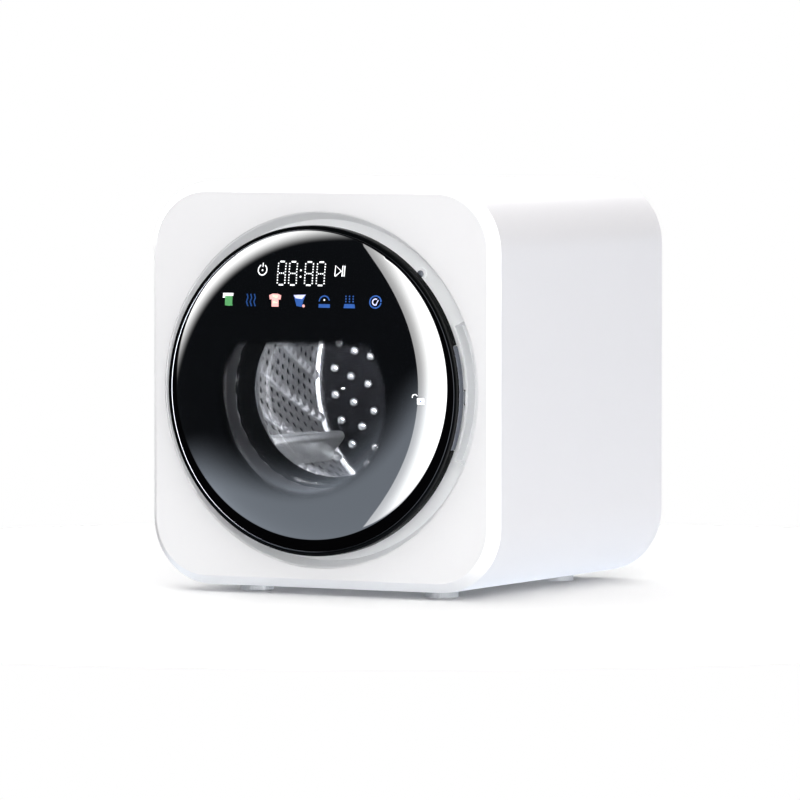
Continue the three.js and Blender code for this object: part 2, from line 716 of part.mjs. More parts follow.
// Lock housing behind the surround floor; its open side is closed by the wall of the finger pocket.
function lockHousing() {
  const front = SURROUND_FLOOR_DEPTH + SURROUND_WALL + FIT;
  const shell = block(LOCK_LEFT, POCKET_INNER, front, HOOK_REACH + 6, HOOK_Z - 20, HOOK_Z + 20)
    .intersect(bar(POCKET_INNER - SURROUND_WALL - FIT, 0, 2 * HOOK_REACH, 0, RING_SEGMENTS));
  const slot = block(HOOK_X - 3.5, POCKET_INNER + 2, front - 1, HOOK_REACH + 2.5, HOOK_Z - 8, HOOK_Z + 8);
  const channel = block(
    LOCK_LEFT - 1,
    HOOK_X,
    BLADE_FRONT - FIT,
    BLADE_FRONT + BLADE_WIDTH + FIT,
    HOOK_Z - BLADE_HALF - FIT,
    HOOK_Z + BLADE_HALF + FIT,
  );
  return cut(shell, [slot, channel]);
}
piece("lock_housing", lockHousing(), BLACK_PLASTIC);

// Lock blade: slides outwards through the window of the door hook.
const bladeTip = HOOK_X - HOOK_THICKNESS / 2 - BLADE_GAP;
piece(
  "lock_blade",
  block(
    bladeTip - BLADE_LENGTH,
    bladeTip,
    BLADE_FRONT,
    BLADE_FRONT + BLADE_WIDTH,
    HOOK_Z - BLADE_HALF,
    HOOK_Z + BLADE_HALF,
  ),
  ZINC_STEEL,
);

// Door gasket: a rubber ring that grips the collar and the tub mouth, with a lip for the glass bowl.
function doorGasket() {
  const inside = COLLAR_RADIUS - FIT;
  const outside = COLLAR_RADIUS + SURROUND_WALL + FIT;
  const wall = 3;
  const tubLip = TUB_MOUTH + TUB_WALL + FIT;
  const back = TUB_FRONT - FIT;
  return turned([
    [inside, COLLAR_END - 8],
    [inside, COLLAR_END + FIT],
    [outside, COLLAR_END + FIT],
    [outside, COLLAR_END - 7],
    [outside + wall, COLLAR_END - 7],
    [GASKET_BULGE, COLLAR_END + 7.5],
    [tubLip + wall, back],
    [tubLip, back],
    [tubLip, TUB_FRONT - TUB_LIP - FIT],
    [TUB_MOUTH - 1, COLLAR_END + 5],
    [GASKET_LIP, COLLAR_END + 3],
    [GASKET_LIP + 1, COLLAR_END + 0.5],
    [inside - wall, COLLAR_END + 1.5],
    [inside - wall, COLLAR_END - 8],
  ], RING_SEGMENTS);
}
piece("door_gasket", doorGasket(), GREY_RUBBER);

// ---------------------------------------------------------------- door
// Depth of the domed glass at a distance from the dome's centre: nearly flat, then turned down at its edge.
function domeDepth(distance) {
  return DOME_FRONT - DOME_HEIGHT * (1 - (distance / DOME_RADIUS) ** DOME_POWER);
}

// Door glass: a flat black border with a shallow dome that sits a little above the middle of the disc.
function doorGlass() {
  const segments = RING_SEGMENTS;
  const back = GLASS_FRONT + GLASS_THICKNESS;
  const skin = [
    circleRing(GLASS_RADIUS, back, 0, segments),
    circleRing(GLASS_RADIUS, GLASS_FRONT + 0.8, 0, segments),
    circleRing(GLASS_RADIUS - 1, GLASS_FRONT, 0, segments),
  ];
  for (const share of [1, 0.97, 0.92, 0.84, 0.7, 0.05]) {
    skin.push(circleRing(DOME_RADIUS * share, domeDepth(DOME_RADIUS * share), DOME_RISE, segments));
  }
  const innerRadius = DOME_RADIUS - GLASS_LEDGE;
  const hollow = [circleRing(innerRadius, back + 1, DOME_RISE, segments)];
  for (const share of [1, 0.86, 0.05]) {
    const r = innerRadius * share;
    hollow.push(circleRing(r, domeDepth(r) + GLASS_THICKNESS, DOME_RISE, segments));
  }
  return lofted(skin).subtract(lofted(hollow));
}
piece("door_glass", doorGlass(), TINTED_GLASS);

// Outer door ring that carries the glass, notched on the right for the finger grip.
function doorBezel() {
  const seat = GLASS_FRONT + GLASS_THICKNESS + FIT;
  const ring = turned([
    [GLASS_RADIUS + FIT, RIM_FRONT + 0.4],
    [GLASS_RADIUS + 1, RIM_FRONT],
    [RIM_RADIUS - 2, RIM_FRONT],
    [RIM_RADIUS - 0.5, RIM_FRONT + 0.8],
    [RIM_RADIUS, RIM_FRONT + 3],
    [RIM_RADIUS, RIM_BACK - 1.5],
    [RIM_RADIUS - 1.5, RIM_BACK],
    [LEDGE_INNER, RIM_BACK],
    [LEDGE_INNER, seat],
    [GLASS_RADIUS + FIT, seat],
  ], RING_SEGMENTS);
  const notch = bar(RIM_RADIUS + 5, GRIP_FRONT - FIT, RIM_BACK + 1, GRIP_INNER - FIT, RING_SEGMENTS)
    .intersect(wedge(2 * RIM_RADIUS, 0, GRIP_ANGLE + 0.15, GRIP_FRONT - FIT, RIM_BACK + 1));
  return ring.subtract(notch);
}
piece("door_bezel", doorBezel(), BLACK_GLOSS);

// Finger grip: a dark curved insert in the right-hand side of the door ring.
function doorGrip() {
  const ring = turned([
    [GRIP_INNER, GRIP_FRONT],
    [RIM_RADIUS, GRIP_FRONT],
    [RIM_RADIUS, RIM_BACK - 1.5],
    [RIM_RADIUS - 1.5, RIM_BACK],
    [GRIP_INNER, RIM_BACK],
  ], RING_SEGMENTS);
  return ring.intersect(wedge(2 * RIM_RADIUS, 0, GRIP_ANGLE, GRIP_FRONT - 1, RIM_BACK + 1));
}
piece("door_grip", doorGrip(), DARK_GREY_PLASTIC);

// Rear door frame: a ribbed plate with a skirt, a bore for the bowl and two posts for the display.
function doorInnerFrame() {
  const front = INNER_FRAME_FRONT;
  const back = INNER_FRAME_BACK;
  const mouth = BOWL_MOUTH + FIT;
  const shell = turned([
    [mouth, front],
    [INNER_FRAME_RADIUS - 3, front],
    [INNER_FRAME_RADIUS - 3, RIM_BACK + FIT],
    [INNER_FRAME_RADIUS, RIM_BACK + FIT],
    [INNER_FRAME_RADIUS, back - 1.5],
    [INNER_FRAME_RADIUS - 1.5, back],
    [INNER_FRAME_RADIUS - 14, back],
    [INNER_FRAME_RADIUS - 17, front + INNER_FRAME_WALL],
    [mouth + 9, front + INNER_FRAME_WALL],
    [mouth + 6, back],
    [mouth, back],
  ], RING_SEGMENTS);
  const bodies = [shell];
  for (let i = 0; i < RIB_COUNT; i += 1) {
    const rib = block(BOWL_MOUTH + BOWL_FLANGE + 2, INNER_FRAME_RADIUS - 2, -2, front + 1, -1, 1);
    bodies.push(spun(rib, (i + 0.5) * (360 / RIB_COUNT)));
  }
  for (const side of [-1, 1]) {
    bodies.push(moved(
      bar(4, DISPLAY_FRONT + BOARD_WALL + FIT, front + 1, 0, SMALL_SEGMENTS),
      side * POST_X,
      0,
      POST_RISE,
    ));
  }
  return joined(bodies);
}
piece("door_inner_frame", doorInnerFrame(), SILVER_PLASTIC);

// Clear bowl that fills the gasket when the door is shut.
function doorBowl() {
  const flangeFront = INNER_FRAME_FRONT - FIT - BOWL_WALL;
  const outside = BOWL_MOUTH;
  return turned([
    [outside + BOWL_FLANGE, flangeFront],
    [outside + BOWL_FLANGE, flangeFront + BOWL_WALL],
    [outside, flangeFront + BOWL_WALL],
    [outside - 0.5, INNER_FRAME_BACK],
    [outside - 3, BOWL_BACK - 16],
    [BOWL_END + 3, BOWL_BACK - 6.5],
    [BOWL_END - 5, BOWL_BACK - 2.5],
    [BOWL_END * 0.6, BOWL_BACK - 1],
    [0, BOWL_BACK],
    [0, BOWL_BACK - BOWL_WALL],
    [BOWL_END * 0.6, BOWL_BACK - BOWL_WALL - 1],
    [BOWL_END - 7, BOWL_BACK - BOWL_WALL - 2.5],
    [BOWL_END, BOWL_BACK - BOWL_WALL - 6],
    [outside - BOWL_WALL - 3, BOWL_BACK - 17],
    [outside - BOWL_WALL - 0.5, flangeFront],
  ], RING_SEGMENTS);
}
piece("door_bowl", doorBowl(), CLEAR_PLASTIC);

// Display board behind the top of the glass, screwed to the two posts, and the digit module on it.
function displayBoard() {
  const outer = new THREE.Shape();
  const start = Math.asin((BOARD_LEVEL - DOME_RISE) / BOARD_RADIUS);
  outer.absarc(0, DOME_RISE, BOARD_RADIUS, start, Math.PI - start, false);
  outer.closePath();
  return plate(outer, DISPLAY_FRONT, DISPLAY_FRONT + BOARD_WALL);
}
piece("display_board", displayBoard(), CIRCUIT_GREEN);
piece(
  "digit_display",
  block(DIGITS_LEFT, DIGITS_RIGHT, DISPLAY_FRONT - 3, DISPLAY_FRONT - FIT, DIGITS_LOW, DIGITS_HIGH),
  BLACK_PLASTIC,
);

// Gooseneck hinge arm: reaches round the edge of the front panel to the hidden pin.
function hingeArm() {
  const arm = new THREE.Shape();
  const [legLeft, legRight] = [HINGE_X - 5, HINGE_X + 1.5];
  const [neckFront, neckBack] = [HINGE_DEPTH + 13, HINGE_DEPTH + 18];
  const [riseLeft, riseRight] = [HINGE_X + 22, HINGE_X + 27];
  const tabFront = INNER_FRAME_BACK + FIT;
  const tabBack = tabFront + 3.5;
  arm.moveTo(legLeft, HINGE_DEPTH);
  arm.lineTo(legLeft, neckBack - 4);
  arm.quadraticCurveTo(legLeft, neckBack, legLeft + 4, neckBack);
  arm.lineTo(riseRight - 4, neckBack);
  arm.quadraticCurveTo(riseRight, neckBack, riseRight, neckBack - 4);
  arm.lineTo(riseRight, tabBack);
  arm.lineTo(ARM_TAB_END, tabBack);
  arm.lineTo(ARM_TAB_END, tabFront);
  arm.lineTo(riseLeft, tabFront);
  arm.lineTo(riseLeft, neckFront - 3);
  arm.quadraticCurveTo(riseLeft, neckFront, riseLeft - 3, neckFront);
  arm.lineTo(legRight + 2, neckFront);
  arm.lineTo(legRight, neckFront - 2);
  arm.lineTo(legRight, HINGE_DEPTH);
  arm.closePath();
  const flat = standing(arm, -HINGE_ARM_HALF, HINGE_ARM_HALF, 3);
  const knuckle = standing(round(HINGE_X, HINGE_DEPTH, 5.3), -HINGE_ARM_HALF, HINGE_ARM_HALF, 10);
  const bore = standing(
    round(HINGE_X, HINGE_DEPTH, HINGE_PIN_RADIUS + FIT),
    -HINGE_ARM_HALF - 1,
    HINGE_ARM_HALF + 1,
    6,
  );
  return flat.add(knuckle).subtract(bore);
}
piece("hinge_arm", hingeArm(), SILVER_PLASTIC);

// Door hook: a steel strip with a window that the lock blade enters.
function doorHook() {
  const [left, right] = [HOOK_X - HOOK_THICKNESS / 2, HOOK_X + HOOK_THICKNESS / 2];
  const front = INNER_FRAME_BACK + FIT;
  const [low, high] = [HOOK_Z - HOOK_HALF_HEIGHT, HOOK_Z + HOOK_HALF_HEIGHT];
  const base = block(HOOK_X - 26, right, front, front + 2, low, high);
  const strip = block(left, right, front, HOOK_REACH, low, high);
  const window = block(
    left - 1,
    right + 1,
    BLADE_FRONT - 1,
    BLADE_FRONT + BLADE_WIDTH + 1,
    HOOK_Z - BLADE_HALF - 1,
    HOOK_Z + BLADE_HALF + 1,
  );
  return base.add(strip).subtract(window);
}
piece("door_hook", doorHook(), ZINC_STEEL);

// ---------------------------------------------------------------- tub

// Front half of the tub: a wall with the mouth for the door, a barrel and a bolted flange.
function tubFront() {
  const split = TUB_SPLIT - FIT / 2;
  return turned([
    [TUB_MOUTH, TUB_FRONT - TUB_LIP],
    [TUB_MOUTH + TUB_WALL, TUB_FRONT - TUB_LIP],
    [TUB_MOUTH + TUB_WALL, TUB_FRONT],
    [TUB_OUTSIDE - 4, TUB_FRONT],
    [TUB_OUTSIDE, TUB_FRONT + 4],
    [TUB_OUTSIDE, split - TUB_WALL],
    [TUB_OUTSIDE + TUB_FLANGE, split - TUB_WALL],
    [TUB_OUTSIDE + TUB_FLANGE, split],
    [TUB_RADIUS, split],
    [TUB_RADIUS, TUB_FRONT + 5],
    [TUB_RADIUS - 2, TUB_FRONT + TUB_WALL],
    [TUB_MOUTH, TUB_FRONT + TUB_WALL],
  ], RING_SEGMENTS);
}
piece("tub_front", tubFront(), TUB_PLASTIC);

// Rear half of the tub: barrel, back wall, bearing hub, radial ribs, four posts and the sump spigot.
function tubRear() {
  const split = TUB_SPLIT + FIT / 2;
  const wall = TUB_BACK - TUB_WALL;
  const shell = turned([
    [TUB_RADIUS, split],
    [TUB_OUTSIDE + TUB_FLANGE, split],
    [TUB_OUTSIDE + TUB_FLANGE, split + TUB_WALL],
    [TUB_OUTSIDE, split + TUB_WALL],
    [TUB_OUTSIDE, TUB_BACK - 4],
    [TUB_OUTSIDE - 4, TUB_BACK],
    [HUB_RADIUS, TUB_BACK],
    [HUB_RADIUS - 2, HUB_BACK],
    [REAR_BEARING_RADIUS + FIT, HUB_BACK],
    [REAR_BEARING_RADIUS + FIT, REAR_BEARING_FRONT - FIT],
    [SHAFT_RADIUS + 6, REAR_BEARING_FRONT - FIT],
    [SHAFT_RADIUS + 6, FRONT_BEARING_BACK + FIT],
    [FRONT_BEARING_RADIUS + FIT, FRONT_BEARING_BACK + FIT],
    [FRONT_BEARING_RADIUS + FIT, HUB_FRONT],
    [HUB_RADIUS, HUB_FRONT],
    [HUB_RADIUS, wall],
    [TUB_RADIUS, wall],
  ], SHELL_SEGMENTS);
  const bodies = [shell];
  for (let i = 0; i < TUB_RIBS; i += 1) {
    const rib = block(
      HUB_RADIUS - 3,
      TUB_OUTSIDE - 5,
      TUB_BACK - 1,
      TUB_BACK + TUB_RIB_HEIGHT,
      -1.5,
      1.5,
    );
    bodies.push(spun(rib, (i + 0.5) * (360 / TUB_RIBS)));
  }
  for (let i = 0; i < 4; i += 1) {
    bodies.push(spun(
      moved(bar(POST_RADIUS, TUB_BACK - 1, POST_END, 0, SMALL_SEGMENTS), TUB_POST_SPREAD, 0, 0),
      i * 90,
    ));
  }
  const spigot = bar(SUMP_RADIUS, TUB_RADIUS + 1, SUMP_REACH, 0, SMALL_SEGMENTS).rotate([0, 0, -90]);
  bodies.push(spun(moved(spigot, 0, SUMP_DEPTH, 0), SUMP_ANGLE));
  const drain = bar(
    SUMP_RADIUS - 2,
    TUB_RADIUS - 10,
    SUMP_REACH + 1,
    0,
    SMALL_SEGMENTS,
  ).rotate([0, 0, -90]);
  const drainHole = spun(moved(drain, 0, SUMP_DEPTH, 0), SUMP_ANGLE);
  const heaterPort = block(
    -HEATER_HALF - 6,
    HEATER_HALF + 6,
    wall - 1,
    TUB_BACK + 1,
    -HEATER_REACH - 5.5,
    5.5 - HEATER_REACH,
  );
  return cut(joined(bodies), [drainHole, heaterPort]);
}
piece("tub_rear", tubRear(), TUB_PLASTIC);

// Rubber bushes between the tub's posts and the chassis.
for (let i = 0; i < 4; i += 1) {
  const bush = moved(
    bar(POST_RADIUS + 3, POST_END + FIT, CHASSIS_FRONT - FIT, 4, SMALL_SEGMENTS),
    TUB_POST_SPREAD,
    0,
    0,
  );
  piece("tub_bush_" + (i + 1), spun(bush, i * 90), BLACK_RUBBER);
}

// Heater: a bent rod under the drum, closed by a flange on the back of the tub.
function heater() {
  const back = TUB_BACK + 2 * FIT;
  const path = new THREE.CurvePath();
  const [left, right, z] = [-HEATER_HALF, HEATER_HALF, -HEATER_REACH];
  const bend = HEATER_START + HEATER_HALF;
  path.add(new THREE.LineCurve3(new THREE.Vector3(left, back + 8, z), new THREE.Vector3(left, bend, z)));
  path.add(new THREE.QuadraticBezierCurve3(
    new THREE.Vector3(left, bend, z),
    new THREE.Vector3(left, HEATER_START, z),
    new THREE.Vector3(0, HEATER_START, z),
  ));
  path.add(new THREE.QuadraticBezierCurve3(
    new THREE.Vector3(0, HEATER_START, z),
    new THREE.Vector3(right, HEATER_START, z),
    new THREE.Vector3(right, bend, z),
  ));
  path.add(new THREE.LineCurve3(
    new THREE.Vector3(right, bend, z),
    new THREE.Vector3(right, back + 8, z),
  ));
  const rod = new THREE.ExtrudeGeometry(
    round(0, 0, HEATER_ROD),
    { steps: 14, extrudePath: path, curveSegments: 3 },
  );
  const flange = block(-HEATER_HALF - 8, HEATER_HALF + 8, back, back + 3, z - 7, z + 7);
  return solid(rod).add(flange);
}
piece("heater_element", heater(), STAINLESS);

// ---------------------------------------------------------------- drum
// Stainless drum shell, perforated in rows, with its two ends turned over the front ring and the back.
function drumShell() {
  const shell = bar(
    DRUM_RADIUS,
    DRUM_FRONT + DRUM_WALL + FIT,
    DRUM_BACK - DRUM_WALL - FIT,
    DRUM_RADIUS - DRUM_WALL,
    SHELL_SEGMENTS,
  );
  const holes = [];
  const sector = 360 / LIFTER_COUNT;
  for (let lane = 0; lane < LIFTER_COUNT; lane += 1) {
    for (let column = 0; column < HOLE_COLUMNS; column += 1) {
      for (let row = 0; row < HOLE_ROWS; row += 1) {
        const depth = DRUM_FRONT + HOLE_PITCH + (row + 0.5 * (column % 2)) * HOLE_PITCH;
        const angle = lane * sector + LIFTER_ANGLE + (column + 1) * (sector / (HOLE_COLUMNS + 1));
        const drill = bar(DRUM_HOLE_RADIUS, DRUM_RADIUS - 6, DRUM_RADIUS + 6, 0, 6).rotate([0, 0, -90]);
        holes.push(spun(moved(drill, 0, depth, 0), angle));
      }
    }
  }
  return cut(shell, holes);
}
piece("drum_shell", drumShell(), STAINLESS);

// Front ring of the drum with its rolled lip.
function drumFrontRing() {
  const front = DRUM_FRONT;
  return turned([
    [DRUM_RADIUS, front],
    [DRUM_RADIUS, front + DRUM_WALL],
    [DRUM_MOUTH + 4, front + DRUM_WALL],
    [DRUM_MOUTH + DRUM_WALL, front + 5],
    [DRUM_MOUTH + DRUM_WALL, front + 9],
    [DRUM_MOUTH, front + 9],
    [DRUM_MOUTH, front + 2],
    [DRUM_MOUTH + 2.5, front],
  ], SHELL_SEGMENTS);
}
piece("drum_front_ring", drumFrontRing(), STAINLESS);

// Back of the drum, pressed with a raised ring and a shallow boss.
function drumBack() {
  const back = DRUM_BACK;
  const front = DRUM_BACK - DRUM_WALL;
  return turned([
    [0, front - 6],
    [42, front - 6],
    [48, front],
    [90, front],
    [100, front - 4],
    [DRUM_RADIUS - 2, front],
    [DRUM_RADIUS, back],
    [100, back - 4],
    [90, back],
    [48, back],
    [42, back - 6],
    [0, back - 6],
  ], SHELL_SEGMENTS);
}
piece("drum_back", drumBack(), STAINLESS);

// Lifters: three moulded paddles with tapered flanks and rounded ends.
function lifter() {
  const root = (DRUM_RADIUS - DRUM_WALL) * Math.cos(Math.PI / SHELL_SEGMENTS) - FIT;
  const start = (DRUM_FRONT + DRUM_BACK - LIFTER_LENGTH) / 2;
  const rings = [];
  for (const [height, half, inset] of [[0, 19, 0], [0.35, 13, 3], [0.75, 8, 9], [1, 4, 17]]) {
    const ring = [];
    const r = root - LIFTER_HEIGHT * height;
    const [y0, y1] = [start + inset, start + LIFTER_LENGTH - inset];
    const nose = [[-1, y0 + half], [-0.5, y0], [0.5, y0], [1, y0 + half]];
    const tail = [[1, y1 - half], [0.5, y1], [-0.5, y1], [-1, y1 - half]];
    for (const [side, y] of [...nose, ...tail]) {
      const across = side * half;
      const sag = height === 0 ? root - Math.sqrt(root ** 2 - across ** 2) : 0;
      ring.push([r - sag, y, across]);
    }
    rings.push(ring);
  }
  return lofted(rings);
}
for (let i = 0; i < LIFTER_COUNT; i += 1) {
  piece("drum_lifter_" + (i + 1), spun(lifter(), LIFTER_ANGLE + i * (360 / LIFTER_COUNT)), STAINLESS);
}

// Cast spider: three tapered arms and a hub behind the drum's back.
function drumSpider() {
  const front = DRUM_BACK + FIT;
  const back = HUB_FRONT - 1;
  const arm = new THREE.Shape();
  arm.moveTo(0, -14);
  arm.lineTo(DRUM_RADIUS - 8, -7);
  arm.lineTo(DRUM_RADIUS - 8, 7);
  arm.lineTo(0, 14);
  arm.closePath();
  const arms = [0, 1, 2].map((i) => spun(plate(arm, front, front + 6), LIFTER_ANGLE + 60 + i * 120));
  const hub = bar(26, front, back);
  const bore = bar(SHAFT_RADIUS + FIT, front - 1, back + 1);
  return joined([hub, ...arms]).subtract(bore);
}
piece("drum_spider", drumSpider(), CAST_ALUMINIUM);

piece("drum_shaft", bar(SHAFT_RADIUS, DRUM_BACK + 2 * FIT, SHAFT_END), BEARING_STEEL);
piece(
  "shaft_seal",
  bar(FRONT_BEARING_RADIUS, HUB_FRONT + FIT, SEAL_BACK - FIT, SHAFT_RADIUS + FIT, PLAIN_SEGMENTS),
  BLACK_RUBBER,
);
piece(
  "front_bearing",
  bar(FRONT_BEARING_RADIUS, SEAL_BACK, FRONT_BEARING_BACK, SHAFT_RADIUS + FIT, PLAIN_SEGMENTS),
  BEARING_STEEL,
);
piece(
  "rear_bearing",
  bar(REAR_BEARING_RADIUS, REAR_BEARING_FRONT, HUB_BACK - 2, SHAFT_RADIUS + FIT, PLAIN_SEGMENTS),
  BEARING_STEEL,
);

// Drum pulley: rim with a belt groove, six spokes and a hub on the shaft.
function drumPulley() {
  const [front, back] = [PULLEY_FRONT, PULLEY_FRONT + PULLEY_WIDTH];
  const middle = (front + back) / 2;
  const rim = turned([
    [PULLEY_RADIUS - 8, front],
    [PULLEY_RADIUS + 2, front],
    [PULLEY_RADIUS + 2, front + PULLEY_FLANGE],
    [PULLEY_RADIUS, front + PULLEY_FLANGE],
    [PULLEY_RADIUS, back - PULLEY_FLANGE],
    [PULLEY_RADIUS + 2, back - PULLEY_FLANGE],
    [PULLEY_RADIUS + 2, back],
    [PULLEY_RADIUS - 8, back],
  ], SHELL_SEGMENTS);
  const spokes = [];
  for (let i = 0; i < SPOKES; i += 1) {
    spokes.push(spun(
      block(10, PULLEY_RADIUS - 6, middle - 2.5, middle + 2.5, -6, 6),
      i * (360 / SPOKES),
    ));
  }
  const hub = bar(20, front, back);
  const bore = bar(SHAFT_RADIUS + FIT, front - 1, back + 1);
  return joined([rim, hub, ...spokes]).subtract(bore);
}
piece("drum_pulley", drumPulley(), CAST_ALUMINIUM);

// ---------------------------------------------------------------- motor, belt and pump
// Flat belt round both pulleys: two arcs joined by their common tangents.
function driveBelt() {
  const distance = Math.hypot(MOTOR_X, MOTOR_DROP);
  const heading = Math.atan2(-MOTOR_DROP, MOTOR_X);
  const tilt = Math.acos((PULLEY_RADIUS - MOTOR_PULLEY_RADIUS) / distance);
  const loop = (extra) => {
    const shape = new THREE.Shape();
    shape.absarc(0, 0, PULLEY_RADIUS + extra, heading + tilt, heading - tilt + 2 * Math.PI, false);
    shape.absarc(
      MOTOR_X,
      -MOTOR_DROP,
      MOTOR_PULLEY_RADIUS + extra,
      heading - tilt,
      heading + tilt,
      false,
    );
    shape.closePath();
    return shape;
  };
  const [front, back] = [PULLEY_FRONT + 2, PULLEY_FRONT + PULLEY_WIDTH - 2];
  const outside = plate(loop(BELT_GAP + BELT_THICKNESS), front, back, BELT_STEPS);
  return outside.subtract(plate(loop(BELT_GAP), front - 1, back + 1, BELT_STEPS));
}
piece("drive_belt", driveBelt(), BLACK_RUBBER);

const atMotor = (body) => moved(body, MOTOR_X, 0, -MOTOR_DROP);

// Motor: a finned can with stepped end bells.
function motorBody() {
  const front = MOTOR_BACK - MOTOR_LENGTH;
  const can = turned([
    [0, front],
    [MOTOR_RADIUS - 12, front],
    [MOTOR_RADIUS - 10, front + 8],
    [MOTOR_RADIUS - 2, front + 12],
    [MOTOR_RADIUS, front + 20],
    [MOTOR_RADIUS, MOTOR_BACK - 16],
    [MOTOR_RADIUS - 4, MOTOR_BACK - 10],
    [MOTOR_RADIUS - 10, MOTOR_BACK - 8],
    [MOTOR_RADIUS - 12, MOTOR_BACK],
    [0, MOTOR_BACK],
  ]);
  const bore = bar(MOTOR_SHAFT + FIT, MOTOR_BACK - 30, MOTOR_BACK + 1);
  return can.subtract(bore);
}
piece("motor_body", atMotor(motorBody()), ZINC_STEEL);

// Motor shaft with its small flanged pulley.
function motorPulley() {
  const [front, back] = [PULLEY_FRONT, PULLEY_FRONT + PULLEY_WIDTH];
  return turned([
    [0, MOTOR_BACK - 28],
    [MOTOR_SHAFT, MOTOR_BACK - 28],
    [MOTOR_SHAFT, front],
    [MOTOR_PULLEY_RADIUS + 2.5, front],
    [MOTOR_PULLEY_RADIUS + 2.5, front + PULLEY_FLANGE],
    [MOTOR_PULLEY_RADIUS, front + PULLEY_FLANGE],
    [MOTOR_PULLEY_RADIUS, back - PULLEY_FLANGE],
    [MOTOR_PULLEY_RADIUS + 2.5, back - PULLEY_FLANGE],
    [MOTOR_PULLEY_RADIUS + 2.5, back],
    [0, back],
  ]);
}
piece("motor_pulley", atMotor(motorPulley()), BEARING_STEEL);

// The inside of the sleeve, as a block that trims what stands in its corners.
function insideSleeve(front, back) {
  const room = lofted([cabinetRing(SLEEVE_WALL + FIT, front), cabinetRing(SLEEVE_WALL + FIT, back)]);
  return moved(room, 0, 0, -DOOR_AXIS_HEIGHT);
}

// Saddle: a moulded cradle on the cabinet floor, shared by the motor and the pump with its own size.
function saddle(x, drop, radius, front, back) {
  const half = radius * 0.72;
  const cradle = block(x - half, x + half, front, back, -2 * drop, -drop - radius * 0.35);
  const seat = moved(bar(radius + FIT, front - 1, back + 1), x, 0, -drop);
  return cradle.intersect(insideSleeve(front, back)).subtract(seat);
}
piece(
  "motor_saddle",
  saddle(MOTOR_X, MOTOR_DROP, MOTOR_RADIUS, MOTOR_BACK - MOTOR_LENGTH + 22, MOTOR_BACK - 18),
  BLACK_PLASTIC,
);

const atPump = (body) => moved(body, PUMP_X, 0, -PUMP_DROP);

// Pump housing: a round chamber with an inlet from the sump and an outlet towards the back.
function pumpHousing() {
  const wall = 2.5;
  const centre = Math.hypot(PUMP_X, PUMP_DROP);
  const inletReach = SUMP_REACH + HOSE_GAP;
  const chamber = bar(PUMP_RADIUS, PUMP_FRONT, PUMP_CHAMBER_BACK);
  const hollow = bar(PUMP_RADIUS - wall, PUMP_FRONT + wall, PUMP_CHAMBER_BACK - wall);
  const shaftHole = bar(
    IMPELLER_SHAFT + FIT,
    PUMP_CHAMBER_BACK - 10,
    PUMP_CHAMBER_BACK + 1,
    0,
    SMALL_SEGMENTS,
  );
  const radial = (radius, from, to) => {
    const tube = bar(radius, from, to, 0, SMALL_SEGMENTS).rotate([0, 0, -90]);
    return spun(moved(tube, 0, SUMP_DEPTH, 0), SUMP_ANGLE);
  };
  const arm = (radius, reach) => {
    const tube = bar(radius, 0, reach, 0, SMALL_SEGMENTS).rotate([0, 0, 90]);
    return moved(tube, 0, SUMP_DEPTH, 0);
  };
  const outlet = (radius, from, to) => moved(bar(radius, from, to, 0, SMALL_SEGMENTS), -armReach, 0, 0);
  const armReach = PUMP_X - DRAIN_X;
  const outer = DRAIN_RADIUS - 2;
  const arms = joined([
    chamber,
    arm(outer, armReach),
    outlet(outer, SUMP_DEPTH - outer, PUMP_CHAMBER_BACK + 10),
  ]);
  const bores = [
    hollow,
    shaftHole,
    arm(outer - 2, armReach),
    outlet(outer - 2, SUMP_DEPTH - 1, PUMP_CHAMBER_BACK + 11),
  ];
  const outside = atPump(arms).add(radial(SUMP_RADIUS, inletReach, centre - PUMP_RADIUS + 4));
  const inletBore = radial(SUMP_RADIUS - 2, inletReach - 1, centre - PUMP_RADIUS + 6);
  return cut(outside, [...bores.map(atPump), inletBore]);
}
piece("pump_housing", pumpHousing(), BLACK_PLASTIC);

// Sump hose: a short rubber sleeve between the two spigots.
const sleeveHose = bar(
  SUMP_RADIUS + FIT + 2.5,
  SUMP_REACH - 7,
  SUMP_REACH + HOSE_GAP + 3,
  SUMP_RADIUS + FIT,
  SMALL_SEGMENTS,
);
piece(
  "sump_hose",
  spun(moved(sleeveHose.rotate([0, 0, -90]), 0, SUMP_DEPTH, 0), SUMP_ANGLE),
  BLACK_RUBBER,
);

// Impeller with four blades on its own shaft.
function impeller() {
  const front = PUMP_FRONT + 8;
  const back = PUMP_CHAMBER_BACK - 6;
  const blades = [0, 90].map((angle) => spun(
    block(-IMPELLER_RADIUS, IMPELLER_RADIUS, front, back, -1.2, 1.2),
    angle,
  ));
  const disc = bar(IMPELLER_RADIUS, back - 2, back);
  const shaft = bar(IMPELLER_SHAFT, front, PUMP_CHAMBER_BACK + 14, 0, SMALL_SEGMENTS);
  return joined([disc, shaft, ...blades]);
}
piece("pump_impeller", atPump(impeller()), WHITE_PLASTIC);

function pumpMotor() {
  const front = PUMP_CHAMBER_BACK + FIT;
  const can = bar(PUMP_RADIUS - 6, front, PUMP_BACK);
  const tail = bar(PUMP_RADIUS - 12, PUMP_BACK - 1, PUMP_BACK + 6);
  return can.add(tail).subtract(bar(IMPELLER_SHAFT + FIT, front - 1, front + 16, 0, SMALL_SEGMENTS));
}
piece("pump_motor", atPump(pumpMotor()), ZINC_STEEL);
piece(
  "pump_saddle",
  saddle(PUMP_X, PUMP_DROP, PUMP_RADIUS, PUMP_FRONT + 4, PUMP_CHAMBER_BACK - 4),
  BLACK_PLASTIC,
);

